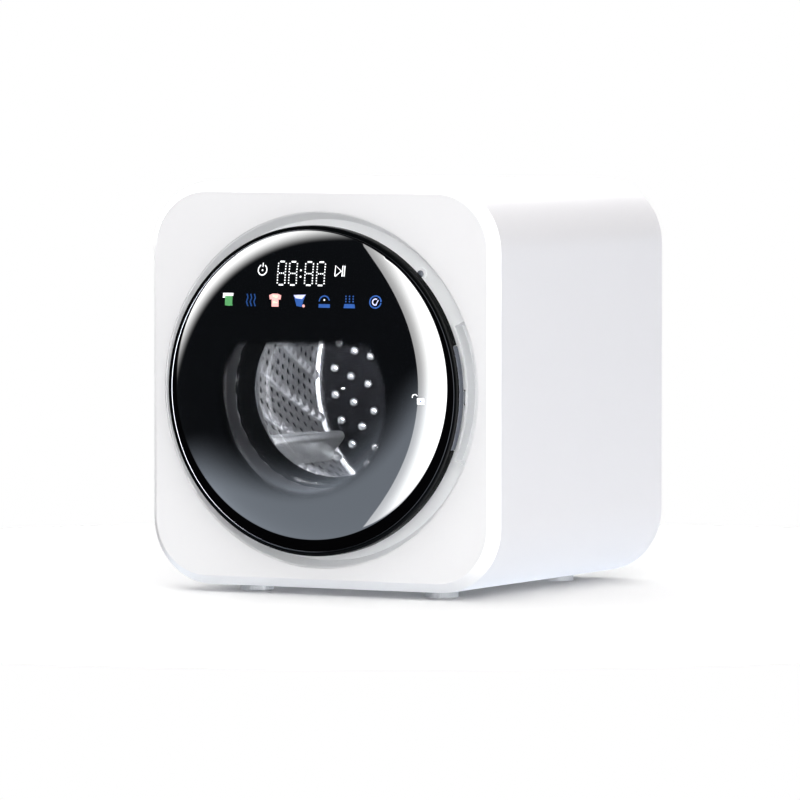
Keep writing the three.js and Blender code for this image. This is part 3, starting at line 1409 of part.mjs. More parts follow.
// Drain hose: from the pump's outlet straight back to the outlet behind the cover.
const drainHose = bar(
  DRAIN_RADIUS,
  PUMP_CHAMBER_BACK + FIT + 1,
  BODY_DEPTH + 4,
  DRAIN_RADIUS - 2 + FIT,
  SMALL_SEGMENTS,
);
piece("drain_hose", moved(drainHose, DRAIN_X, 0, DRAIN_Z - DOOR_AXIS_HEIGHT), BLACK_RUBBER);

// ---------------------------------------------------------------- water inlet and electrics
function inletValve() {
  const body = block(-16, 16, VALVE_FRONT, REAR_COVER_FRONT - 2, -16, 16);
  const spigot = bar(SPIGOT_RADIUS, REAR_COVER_FRONT - 3, BODY_DEPTH + 3);
  const outlet = bar(HOSE_BORE - FIT, CHASSIS_FRONT - 12, VALVE_FRONT + 1, 0, SMALL_SEGMENTS);
  const waterway = bar(4, CHASSIS_FRONT - 13, BODY_DEPTH + 4, 0, SMALL_SEGMENTS);
  return joined([body, spigot, outlet]).subtract(waterway);
}
piece("inlet_valve", moved(inletValve(), HOSE_X, 0, HOSE_RISE), WHITE_PLASTIC);

// Fill hose: along the top right corner of the cabinet and round to the nozzle by the gasket.
function fillHose() {
  const start = new THREE.Vector3(HOSE_X, CHASSIS_FRONT - 2, HOSE_RISE);
  const corner = new THREE.Vector3(HOSE_X, NOZZLE_DEPTH, HOSE_RISE);
  const bend = new THREE.Vector3(HOSE_X, NOZZLE_DEPTH + 26, HOSE_RISE);
  const end = new THREE.Vector3(NOZZLE_END, NOZZLE_DEPTH, NOZZLE_END);
  const turn = new THREE.Vector3(HOSE_X - 12, NOZZLE_DEPTH, HOSE_RISE - 12);
  const path = new THREE.CurvePath();
  path.add(new THREE.LineCurve3(start, bend));
  path.add(new THREE.QuadraticBezierCurve3(bend, corner, turn));
  path.add(new THREE.LineCurve3(turn, end));
  const options = { steps: 14, extrudePath: path, curveSegments: 4 };
  const outside = new THREE.ExtrudeGeometry(round(0, 0, HOSE_OUTSIDE), options);
  const socket = moved(
    bar(HOSE_BORE, CHASSIS_FRONT - 16, CHASSIS_FRONT, 0, SMALL_SEGMENTS),
    HOSE_X,
    0,
    HOSE_RISE,
  );
  return solid(outside).subtract(socket);
}
piece("fill_hose", fillHose(), GREY_RUBBER);

// Spray nozzle: the moulded elbow that feeds the fill water through the gasket into the drum.
function sprayNozzle() {
  const reach = NOZZLE_END * Math.SQRT2 - FIT;
  const start = GASKET_BULGE + FIT;
  const stem = bar(HOSE_OUTSIDE - 1, start, reach, 0, SMALL_SEGMENTS);
  const flange = bar(HOSE_OUTSIDE + 3, start, start + 3, 0, SMALL_SEGMENTS);
  const bore = bar(4, start - 1, reach + 1, 0, SMALL_SEGMENTS);
  const body = stem.add(flange).subtract(bore).rotate([0, 0, -90]);
  return spun(moved(body, 0, NOZZLE_DEPTH, 0), 45);
}
piece("spray_nozzle", sprayNozzle(), WHITE_PLASTIC);

// Control board in a folded tray under the top of the cabinet.
function boardTray() {
  const outside = block(TRAY_LEFT, TRAY_RIGHT, TRAY_FRONT, TRAY_BACK, TRAY_TOP - TRAY_HEIGHT, TRAY_TOP);
  const inside = block(
    TRAY_LEFT + 2, TRAY_RIGHT - 2, TRAY_FRONT + 2, TRAY_BACK - 2, TRAY_TOP - TRAY_HEIGHT - 1, TRAY_TOP - 2,
  );
  return outside.subtract(inside);
}
piece("board_tray", boardTray(), ZINC_STEEL);

function controlBoard() {
  const low = TRAY_TOP - TRAY_HEIGHT + 2;
  const [left, right] = [TRAY_LEFT + 2 + FIT, TRAY_RIGHT - 2 - FIT];
  const [front, back] = [TRAY_FRONT + 2 + FIT, TRAY_BACK - 2 - FIT];
  const board = block(left, right, front, back, low, low + BOARD_WALL);
  const relay = block(left + 10, left + 28, front + 12, front + 34, low + 1, low + 13);
  const sink = block(right - 40, right - 10, front + 30, front + 90, low + 1, low + 12);
  const capacitor = moved(
    bar(7, -1, 13, 0, SMALL_SEGMENTS).rotate([90, 0, 0]),
    left + 40,
    back - 30,
    low + 1,
  );
  return joined([board, relay, sink, capacitor]);
}
piece("control_board", controlBoard(), CIRCUIT_GREEN);

// Cable gland in the rear cover where the mains lead would enter.
function powerGland() {
  const front = REAR_COVER_FRONT - 6;
  const face = REAR_COVER_FRONT + REAR_COVER_WALL + FIELD_RISE + FIT;
  const nut = bar(GLAND_RADIUS + 4, front, REAR_COVER_FRONT + FIELD_RISE - FIT, 0, 6);
  const body = bar(GLAND_RADIUS, front + 1, face + 4, 0, SMALL_SEGMENTS);
  const collar = bar(GLAND_RADIUS + 4, face, face + 4, 0, SMALL_SEGMENTS);
  const bore = bar(4, front - 1, face + 8, 0, SMALL_SEGMENTS);
  return joined([nut, body, collar]).subtract(bore);
}
piece("power_gland", moved(powerGland(), GLAND_X, 0, 0), BLACK_PLASTIC, GLAND_Z);

// ---------------------------------------------------------------- the machine, centred over its feet
const frontmost = domeDepth(0.05 * DOME_RADIUS);
const rearmost = BODY_DEPTH + BRACKET_OFFSET;
machine.position.y = -(frontmost + rearmost) / 2;
const centred = new THREE.Group();
centred.add(machine);
export default centred;
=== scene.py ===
import math

import bpy
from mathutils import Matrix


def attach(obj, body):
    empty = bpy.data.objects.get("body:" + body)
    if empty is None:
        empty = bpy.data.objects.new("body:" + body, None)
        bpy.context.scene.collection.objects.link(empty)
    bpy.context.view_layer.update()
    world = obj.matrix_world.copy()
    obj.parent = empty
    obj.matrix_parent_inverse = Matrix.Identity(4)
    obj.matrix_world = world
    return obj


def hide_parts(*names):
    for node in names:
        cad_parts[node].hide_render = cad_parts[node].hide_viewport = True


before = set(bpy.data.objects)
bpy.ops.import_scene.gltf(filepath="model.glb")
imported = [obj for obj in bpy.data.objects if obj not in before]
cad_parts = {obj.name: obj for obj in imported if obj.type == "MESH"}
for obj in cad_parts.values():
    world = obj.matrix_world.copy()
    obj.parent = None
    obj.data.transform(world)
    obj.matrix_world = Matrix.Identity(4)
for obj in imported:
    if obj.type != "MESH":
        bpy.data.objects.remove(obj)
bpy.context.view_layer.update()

# Camera: a long lens, 28 degrees round to the machine's right and just above its middle. It looks at
# a point in the plane of the cabinet's flat front, from which all depths are measured.
FRONT_Y = -0.173


def place(depth):
    """Metres along Y for a depth in millimetres behind the flat front of the cabinet."""
    return depth / 1000 + FRONT_Y


yaw, pitch = math.radians(28.25), math.radians(2.81)
reach = 7.206
aim_x, aim_z = 0.092, 0.2015
bpy.ops.object.camera_add(
    location=(
        aim_x + reach * math.sin(yaw) * math.cos(pitch),
        place(0) - reach * math.cos(yaw) * math.cos(pitch),
        aim_z + reach * math.sin(pitch),
    ),
    rotation=(math.radians(90) - pitch, 0, yaw),
)
camera = bpy.context.object
camera.name = "Camera"
camera.data.lens = 323.1
camera.data.sensor_width = 36
bpy.context.scene.camera = camera
bpy.context.scene.view_settings.view_transform = "Standard"


# Studio floor: a round pale floor under the machine, against a white backdrop.
# Matt paint, so that only a soft shadow falls on it.
def linear(hex_colour):
    """The linear RGBA of an sRGB hex colour."""
    shares = [int(hex_colour[i:i + 2], 16) / 255 for i in (1, 3, 5)]
    return [s / 12.92 if s <= 0.04045 else ((s + 0.055) / 1.055) ** 2.4 for s in shares] + [1.0]


def add_node(tree, kind, settings=None, values=None, links=None):
    """Adds a node with its settings and socket values, and links its inputs to other nodes' outputs."""
    node = tree.nodes.new(kind)
    for name, value in (settings or {}).items():
        setattr(node, name, value)
    for socket, value in (values or {}).items():
        node.inputs[socket].default_value = value
    for socket, (source, output) in (links or {}).items():
        tree.links.new(source.outputs[output], node.inputs[socket])
    return node


def new_material(name):
    """A new material without any nodes, and its tree."""
    material = bpy.data.materials.new(name)
    material.use_nodes = True
    material.node_tree.nodes.clear()
    return material, material.node_tree


def grained(name, colour, roughness, grain_mm, relief_mm, tone=0.03, **shader):
    """A finish whose colour and relief vary at the size of its grain, which is in millimetres.

    Grain too fine to see, as in lacquer, ink or ground steel, is drawn coarser, to show close up."""
    material, tree = new_material(name)
    where = add_node(tree, "ShaderNodeTexCoord")
    grain = add_node(tree, "ShaderNodeTexNoise", values={"Scale": 1000 / grain_mm, "Detail": 3.0},
                     links={"Vector": (where, "Object")})
    base = linear(colour)
    dark = [c * (1 - tone) for c in base[:3]] + [1.0]
    mix = add_node(tree, "ShaderNodeMix", {"data_type": "RGBA"}, links={0: (grain, "Fac")})
    mix.inputs[6].default_value = dark
    mix.inputs[7].default_value = base
    relief = add_node(tree, "ShaderNodeBump", values={"Strength": 0.5, "Distance": relief_mm / 1000},
                      links={"Height": (grain, "Fac")})
    surface = add_node(tree, "ShaderNodeBsdfPrincipled", values={"Roughness": roughness, **shader},
                       links={"Base Color": (mix, 2), "Normal": (relief, "Normal")})
    add_node(tree, "ShaderNodeOutputMaterial", links={"Surface": (surface, "BSDF")})
    return material


# Floor paint, rolled on matt: pale, with no shine of its own.
floor_paint = grained("Floor_Matt_Paint", "#d2d2d2", 0.9, 4.0, 0.05)
bpy.ops.object.select_all(action="DESELECT")
bpy.ops.mesh.primitive_circle_add(vertices=96, radius=1.0, fill_type="NGON", location=(0, 0, 0))
floor = bpy.context.object
floor.name = "Floor"
floor.visible_glossy = False
floor.data.materials.append(floor_paint)


# Studio light: a soft panel overhead, a softbox at the front right and a backdrop that is brightest in
# front. What is glossy sees the backdrop dark above and grey below, with white cards right and upper left.
AIM_HEIGHT = 0.2


def soft_panel(name, azimuth, elevation, distance, size, power):
    """A rectangular soft light facing the machine, not mirrored in it. Azimuth goes from front to right."""
    a, e = math.radians(azimuth), math.radians(elevation)
    back = (math.sin(a) * math.cos(e), -math.cos(a) * math.cos(e), math.sin(e))
    bpy.ops.object.light_add(
        type="AREA",
        location=(back[0] * distance, back[1] * distance, AIM_HEIGHT + back[2] * distance),
        rotation=(math.radians(90) - e, 0, a),
    )
    panel = bpy.context.object
    panel.name = name
    panel.data.shape = "RECTANGLE"
    panel.data.size, panel.data.size_y = size
    panel.data.energy = power
    panel.visible_camera = False
    panel.visible_glossy = False


soft_panel("Overhead_Panel", 0, 88, 3.0, (3.5, 3.5), 66)
soft_panel("Front_Softbox", 30, 18, 3.0, (1.6, 1.6), 30)


def backdrop_patch(sky, towards, axis, edge, full, low_value, high_value):
    """The strength of a soft-edged patch of the backdrop round a direction."""
    towards_axis = add_node(sky, "ShaderNodeVectorMath", {"operation": "DOT_PRODUCT"}, {1: axis},
                            {0: (towards, "Generated")})
    return add_node(sky, "ShaderNodeMapRange", {"interpolation_type": "SMOOTHSTEP"},
                    {"From Min": edge, "From Max": full, "To Min": low_value, "To Max": high_value},
                    {"Value": (towards_axis, "Value")})


studio = bpy.data.worlds.new("Studio")
bpy.context.scene.world = studio
studio.use_nodes = True
sky = studio.node_tree
sky.nodes.clear()
seen = add_node(sky, "ShaderNodeLightPath")
towards = add_node(sky, "ShaderNodeTexCoord")
ahead = backdrop_patch(sky, towards, (0, -1, 0), -0.7, 0.9, 0.43, 0.75)
room = add_node(sky, "ShaderNodeBackground", values={"Color": linear("#fbfafb")},
                links={"Strength": (ahead, 0)})
backdrop = add_node(sky, "ShaderNodeBackground", values={"Color": linear("#ffffff"), "Strength": 1.0})
below = backdrop_patch(sky, towards, (0.27, 0, -0.963), -0.05, 0.24, 0.05, 3.0)
grey_floor = add_node(sky, "ShaderNodeBackground", values={"Color": linear("#c4cfdd")},
                      links={"Strength": (below, 0)})
upper_left = backdrop_patch(sky, towards, (-0.60, 0.30, 0.742), 0.58, 0.88, 0.0, 13.0)
RIGHT_CARD = (0.9444, 0.3289, 0.0)
right_edge = backdrop_patch(sky, towards, RIGHT_CARD, -0.277, -0.271, 0.0, 1.0)
right_grade = backdrop_patch(sky, towards, RIGHT_CARD, -0.28, 0.14, 4.5, 18.0)
right_end = backdrop_patch(sky, towards, (0.4226, -0.906, 0.0), 0.30, 0.40, 0.0, 1.0)
right_inside = add_node(sky, "ShaderNodeMath", {"operation": "MULTIPLY"},
                        links={0: (right_edge, 0), 1: (right_end, 0)})
right = add_node(sky, "ShaderNodeMath", {"operation": "MULTIPLY"},
                 links={0: (right_inside, 0), 1: (right_grade, 0)})
white_part = add_node(sky, "ShaderNodeMath", {"operation": "ADD"},
                      links={0: (upper_left, 0), 1: (right, 0)})
white_card = add_node(sky, "ShaderNodeBackground", values={"Color": linear("#ffffff")},
                      links={"Strength": (white_part, 0)})
dim_room = add_node(sky, "ShaderNodeAddShader", links={0: (grey_floor, 0), 1: (white_card, 0)})
reflected = add_node(sky, "ShaderNodeMixShader",
                     links={0: (seen, "Is Glossy Ray"), 1: (room, 0), 2: (dim_room, 0)})
around = add_node(sky, "ShaderNodeMixShader",
                  links={0: (seen, "Is Camera Ray"), 1: (reflected, 0), 2: (backdrop, 0)})
add_node(sky, "ShaderNodeOutputWorld", links={"Surface": (around, 0)})


# Lamps: two inside the drum light its steel, and a weak one stands just behind the door's glass.
def lamp(name, x, depth, z, power, size, gloss):
    """A small soft lamp at a place in millimetres, out of the camera's sight. Gloss: metal mirrors it."""
    bpy.ops.object.light_add(type="POINT", location=(x / 1000, place(depth), z / 1000))
    bulb = bpy.context.object
    bulb.name = name
    bulb.data.energy = power
    bulb.data.shadow_soft_size = size / 1000
    bulb.visible_camera = False
    bulb.visible_glossy = gloss


lamp("Drum_Lamp", -40, 130, 285, 2.4, 30, True)
lamp("Drum_Side_Lamp", 62, 160, 190, 3.9, 20, True)
lamp("Door_Lamp", 45, -27, 230, 0.12, 10, False)


# Cabinet sleeve: one sheet of steel wrapped round the machine and welded underneath,
# powder coated white. It plugs over the front panel's spigot.
def fit_piece(piece, name, body, finish_slot, material, *nodes):
    """Names a finished piece, gives it its material and joins it to the frame."""
    piece.name = name
    piece.data.name = name
    piece.data.materials.clear()
    piece.data.materials.append(material)
    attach(piece, body)
    if nodes:
        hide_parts(*nodes)


CABINET_WIDTH, CABINET_HEIGHT, CABINET_MIDDLE_Z = 0.400, 0.410, 0.213
CORNER_MM, CORNER_STEPS = 67, 20


def rounded_block(front, back):
    """The cabinet's outline as a solid block between two depths, with its four long edges rounded."""
    bpy.ops.object.select_all(action="DESELECT")
    bpy.ops.mesh.primitive_cube_add(size=1, location=(0, (place(front) + place(back)) / 2, CABINET_MIDDLE_Z))
    block = bpy.context.object
    block.scale = (CABINET_WIDTH, (back - front) / 1000, CABINET_HEIGHT)
    bpy.ops.object.transform_apply(location=True, rotation=True, scale=True)
    bpy.ops.object.mode_set(mode="EDIT")
    bpy.ops.mesh.select_mode(type="EDGE")
    bpy.ops.mesh.select_all(action="DESELECT")
    bpy.ops.object.mode_set(mode="OBJECT")
    for edge in block.data.edges:
        a, b = (block.data.vertices[v].co for v in edge.vertices)
        edge.select = abs(a.y - b.y) > 0.001
    bpy.ops.object.mode_set(mode="EDIT")
    bpy.ops.mesh.bevel(offset=CORNER_MM / 1000, segments=CORNER_STEPS, affect="EDGES")
    bpy.ops.object.mode_set(mode="OBJECT")
    return block


def select_faces(piece, test):
    """Selects the faces whose centre and normal pass a test, and leaves the piece in edit mode."""
    if bpy.context.mode != "OBJECT":
        bpy.ops.object.mode_set(mode="OBJECT")
    bpy.ops.object.select_all(action="DESELECT")
    bpy.context.view_layer.objects.active = piece
    piece.select_set(True)
    bpy.ops.object.mode_set(mode="EDIT")
    bpy.ops.mesh.select_mode(type="FACE")
    bpy.ops.mesh.select_all(action="DESELECT")
    bpy.ops.object.mode_set(mode="OBJECT")
    for face in piece.data.polygons:
        face.select = test(face.center, face.normal)
    bpy.ops.object.mode_set(mode="EDIT")


def use_modifier(piece, kind, **settings):
    """Adds a modifier to a piece and applies it."""
    bpy.ops.object.select_all(action="DESELECT")
    bpy.context.view_layer.objects.active = piece
    piece.select_set(True)
    modifier = piece.modifiers.new(kind.title(), kind)
    for name, value in settings.items():
        setattr(modifier, name, value)
    bpy.ops.object.modifier_apply(modifier=modifier.name)


def smooth(piece, degrees=32, true_flats=False):
    """Smooth shading, broken at edges sharper than an angle. Wide flat faces can be kept truly flat."""
    bpy.ops.object.select_all(action="DESELECT")
    bpy.context.view_layer.objects.active = piece
    piece.select_set(True)
    bpy.ops.object.shade_smooth_by_angle(angle=math.radians(degrees))
    if true_flats:
        use_modifier(piece, "WEIGHTED_NORMAL", keep_sharp=True)


# Powder coat, baked on steel: satin white, with a very fine orange peel.
powder_coat = grained("Powder_Coated_Steel", "#ebeaec", 0.42, 1.2, 0.02, tone=0.015)
sleeve = rounded_block(12.1, 376)
select_faces(sleeve, lambda centre, normal: abs(normal.y) > 0.9)
bpy.ops.mesh.delete(type="ONLY_FACE")
bpy.ops.object.mode_set(mode="OBJECT")
use_modifier(sleeve, "SOLIDIFY", thickness=0.002, offset=-1)
use_modifier(sleeve, "BEVEL", width=0.0007, segments=3, limit_method="ANGLE", angle_limit=math.radians(50))
smooth(sleeve, true_flats=True)
fit_piece(sleeve, "Cabinet_Sleeve", "cabinet", "sleeve_white", powder_coat, "cabinet_sleeve")


# Front panel: a white ABS moulding with a broad bevel and a round port for the door, open behind and
# pressed on to the front of the sleeve. DOOR_Z is the height of the door's axis above the floor.
DOOR_Z = 0.209
PORT_RADIUS = 0.1803
BEVEL_WIDTH, BEVEL_DEPTH = 0.0095, 0.0115

# White ABS, moulded in a polished tool: smoother than the sleeve's paint, with a soft sheen.
gloss_abs = grained("Moulded_White_ABS", "#eeeeef", 0.28, 2.5, 0.008, tone=0.01)
panel = rounded_block(0, 11.8)
select_faces(panel, lambda centre, normal: normal.y < -0.9)
bpy.ops.transform.translate(value=(0, BEVEL_DEPTH, 0))
bpy.ops.mesh.inset(thickness=BEVEL_WIDTH, depth=BEVEL_DEPTH)
select_faces(panel, lambda centre, normal: normal.y > 0.9)
bpy.ops.mesh.inset(thickness=0.005, depth=-0.0045)
bpy.ops.mesh.inset(thickness=0.006, depth=-0.0040)
bpy.ops.object.mode_set(mode="OBJECT")
bpy.ops.mesh.primitive_cylinder_add(
    vertices=200, radius=PORT_RADIUS, depth=0.06, location=(0, place(6), DOOR_Z),
    rotation=(math.pi / 2, 0, 0),
)
port_cutter = bpy.context.object
use_modifier(panel, "BOOLEAN", operation="DIFFERENCE", object=port_cutter, solver="EXACT")
bpy.data.objects.remove(port_cutter)
use_modifier(panel, "BEVEL", width=0.0014, segments=4, limit_method="ANGLE", angle_limit=math.radians(24))
smooth(panel, 40, true_flats=True)
fit_piece(panel, "Front_Panel", "cabinet", "front_white", gloss_abs, "front_frame")


# Door surround: one silver-painted ABS ring clipped into the front panel. It narrows like a funnel
# to a flat floor round the door, with a collar behind it for the gasket.
def turned(outline, segments=192, axis=(0.0, DOOR_Z), closed=True):
    """A round piece from its outline in millimetres of radius and depth, swept by extruding a circle."""
    x, z = axis
    bpy.ops.object.select_all(action="DESELECT")
    bpy.ops.mesh.primitive_circle_add(
        vertices=segments, radius=outline[0][0] / 1000, location=(x, place(outline[0][1]), z),
        rotation=(math.pi / 2, 0, 0),
    )
    piece = bpy.context.object
    bpy.ops.object.transform_apply(location=True, rotation=True, scale=True)
    bpy.ops.object.mode_set(mode="EDIT")
    bpy.ops.mesh.select_mode(type="VERT")
    bpy.ops.mesh.select_all(action="SELECT")
    path = outline + outline[:1] if closed else outline
    for (r0, d0), (r1, d1) in zip(path, path[1:]):
        bpy.ops.mesh.extrude_edges_move(TRANSFORM_OT_translate={"value": (0, (d1 - d0) / 1000, 0)})
        bpy.ops.transform.resize(value=(r1 / r0, 1, r1 / r0), center_override=(x, place(d1), z))
    bpy.ops.mesh.select_all(action="SELECT")
    if closed:
        bpy.ops.mesh.remove_doubles(threshold=1e-6)
    else:
        bpy.ops.mesh.fill_holes(sides=0)
    bpy.ops.mesh.select_all(action="SELECT")
    bpy.ops.mesh.normals_make_consistent(inside=False)
    bpy.ops.object.mode_set(mode="OBJECT")
    return piece


def sector(inner, outer, from_degrees, to_degrees, front, back, steps=40):
    """A closed block between two radii, two angles round the door's axis and two depths."""
    bpy.ops.object.select_all(action="DESELECT")
    bpy.ops.mesh.primitive_plane_add(size=1, location=(0, 0, 0))
    piece = bpy.context.object
    start = math.radians(from_degrees)
    for vertex in piece.data.vertices:
        radius = (outer if vertex.co.x > 0 else inner) / 1000
        depth = back if vertex.co.y > 0 else front
        vertex.co = (radius * math.cos(start), place(depth), DOOR_Z + radius * math.sin(start))
    bpy.ops.object.mode_set(mode="EDIT")
    bpy.ops.mesh.select_all(action="SELECT")
    bpy.ops.mesh.spin(
        steps=steps, angle=math.radians(to_degrees - from_degrees), center=(0, 0, DOOR_Z), axis=(0, 1, 0)
    )
    bpy.ops.mesh.select_all(action="SELECT")
    bpy.ops.mesh.remove_doubles(threshold=1e-6)
    bpy.ops.mesh.normals_make_consistent(inside=False)
    bpy.ops.object.mode_set(mode="OBJECT")
    return piece


def combine(piece, operation, *others):
    """Adds other solids to a piece or cuts them from it."""
    for other in others:
        use_modifier(piece, "BOOLEAN", operation=operation, object=other, solver="EXACT")
        bpy.data.objects.remove(other)


def box(left, right, front, back, bottom, top):
    """A box between two places across, two depths and two heights above the floor, in millimetres."""
    bpy.ops.object.select_all(action="DESELECT")
    bpy.ops.mesh.primitive_cube_add(
        size=1, location=((left + right) / 2000, (place(front) + place(back)) / 2, (bottom + top) / 2000)
    )
    piece = bpy.context.object
    piece.scale = ((right - left) / 1000, (back - front) / 1000, (top - bottom) / 1000)
    bpy.ops.object.transform_apply(location=True, rotation=True, scale=True)
    return piece


# ABS sprayed with a fine silver lacquer: pale and satin.
silver_abs = grained("Silver_Painted_ABS", "#f4f5f6", 0.4, 0.6, 0.004, tone=0.02)
surround = turned([
    (180, 0.6), (179.2, 0.9), (172.7, 15), (117.5, 15), (115.4, 15.8), (115, 17), (115, 30), (117.5, 30),
    (117.5, 17.5), (173.7, 17.5), (180, 5.8),
])
buffer_x, buffer_z = 107.9, 328.0
buffer_axis = (buffer_x / 1000, buffer_z / 1000)
boss = turned([(6.6, 14.2), (6.2, 13.8), (0.4, 13.8), (0.4, 17), (6.6, 17)], 48, buffer_axis)
pocket_liner = sector(160.5, 179, -25.5, 25.5, 11, 29.5)
combine(surround, "UNION", pocket_liner, boss)
finger_pocket = sector(163, 176.5, -24.5, 24.5, -1, 27)
hinge_relief = sector(148, 177.3, 171.5, 188.5, 2, 60, 12)
hinge_window = box(-186, -150, 7, 60, 185, 233)
hook_slot = box(155.5, 160.2, 12, 19, 196.7, 212.7)
combine(surround, "DIFFERENCE", finger_pocket, hinge_relief, hinge_window, hook_slot)
use_modifier(surround, "BEVEL", width=0.0006, segments=2, limit_method="ANGLE", angle_limit=math.radians(50))
smooth(surround, 40, true_flats=True)
fit_piece(surround, "Door_Surround", "cabinet", "silver_plastic", silver_abs, "door_surround")


# Door buffer: a soft charcoal plug pressed into the boss at the surround's top right.
# The door's rim closes on its domed head.
# Moulded rubber filled with carbon: charcoal and dull.
buffer_rubber = grained("Charcoal_Rubber", "#3f434a", 0.55, 0.5, 0.02, tone=0.1)
buffer = turned([
    (0.3, 12.0), (1.6, 12.1), (2.8, 12.5), (3.5, 13.1), (3.6, 13.5), (2.1, 13.5), (2.1, 17.8), (3.1, 17.8),
    (0.3, 20.8),
], 48, buffer_axis, closed=False)
smooth(buffer, 50)
fit_piece(buffer, "Door_Buffer", "cabinet", "dark_buffer", buffer_rubber, "door_buffer")


# Door ring: a black ABS ring that carries the glass and its bright seam. A notch in its right-hand
# side takes the finger grip.
# Black ABS, moulded glossy: nearly black, and kept from mirroring the white studio.
piano_black = grained("Gloss_Black_ABS", "#060708", 0.2, 3.0, 0.002, tone=0.2,
                      **{"Specular IOR Level": 0.03})
door_ring = turned([
    (162.3, -17.1), (163, -17.5), (165, -17.5), (166.5, -16.7), (167, -14.5), (167, -6.5), (165.5, -5),
    (149, -5), (149, -13.5), (162.3, -13.5),
])
grip_notch = sector(163.1, 172, -19.8, 17.1, -14.3, -4)
combine(door_ring, "DIFFERENCE", grip_notch)
use_modifier(door_ring, "BEVEL", width=0.0004, segments=2, limit_method="ANGLE", angle_limit=math.radians(50))
smooth(door_ring, true_flats=True)
fit_piece(door_ring, "Door_Ring", "door", "black_plastic", piano_black, "door_bezel")


# Seam ring: a thin bead of chrome on ABS, let into the joint between the glass and its ring.
# Its colour carries a painted highlight at the left of the door and painted shade, nearly black, at the
# right.
PAINTED_HIGHLIGHT_X, PAINTED_SHADE_X = -0.13, 0.02


def highlight_painted_chrome():
    """Chrome on ABS, with a painted highlight at the left of the door fading to painted shade, nearly black,
    round to the right.
    """
    material, tree = new_material("Chrome_Trim_Painted_Highlight")
    where = add_node(tree, "ShaderNodeTexCoord")
    split = add_node(tree, "ShaderNodeSeparateXYZ", links={0: (where, "Object")})
    across = add_node(tree, "ShaderNodeMapRange", values={"From Min": PAINTED_HIGHLIGHT_X, "From Max": PAINTED_SHADE_X},
                      links={"Value": (split, "X")})
    # Painted highlight at the left of the door, fading across to painted shade at the right.
    painted_light_tint = add_node(tree, "ShaderNodeMix", {"data_type": "RGBA"},
                    {6: linear("#7c7e83"), 7: linear("#141517")}, {0: (across, 0)})
    chrome = add_node(tree, "ShaderNodeBsdfPrincipled", values={"Metallic": 1.0, "Roughness": 0.22},
                      links={"Base Color": (painted_light_tint, 2)})
    add_node(tree, "ShaderNodeOutputMaterial", links={"Surface": (chrome, 0)})
    return material


seam = turned([
    (161.7, -17.7), (162.05, -18.0), (162.5, -18.0), (162.85, -17.6), (162.85, -17.3), (161.7, -17.3),
])
smooth(seam, 60)
fit_piece(seam, "Seam_Ring", "door", "silver_plastic", highlight_painted_chrome())


# Door glass: one pressed pane, flat at its border and domed inside it, printed black on the back
# except for a window with a straight top. Its centre stands 18 mm proud and 6 mm above the door's axis.
DOME_EDGE, DOME_RISE, DOME_RADIUS = -19.8, 18.2, 155.8
DOME_LIFT = 0.006
WINDOW_DROP, WINDOW_TOP = 0.0088, 0.044
WINDOW_CLEAR, WINDOW_BLACK = 0.091, 0.099
BORDER_START, BORDER_FULL = 0.1557, 0.1560
PANE_EDGE = 0.1619


def dome(distance):
    """Depth of the dome's front face at a distance from its middle, in millimetres."""
    return DOME_EDGE - DOME_RISE * (1 - (distance / DOME_RADIUS) ** 6)


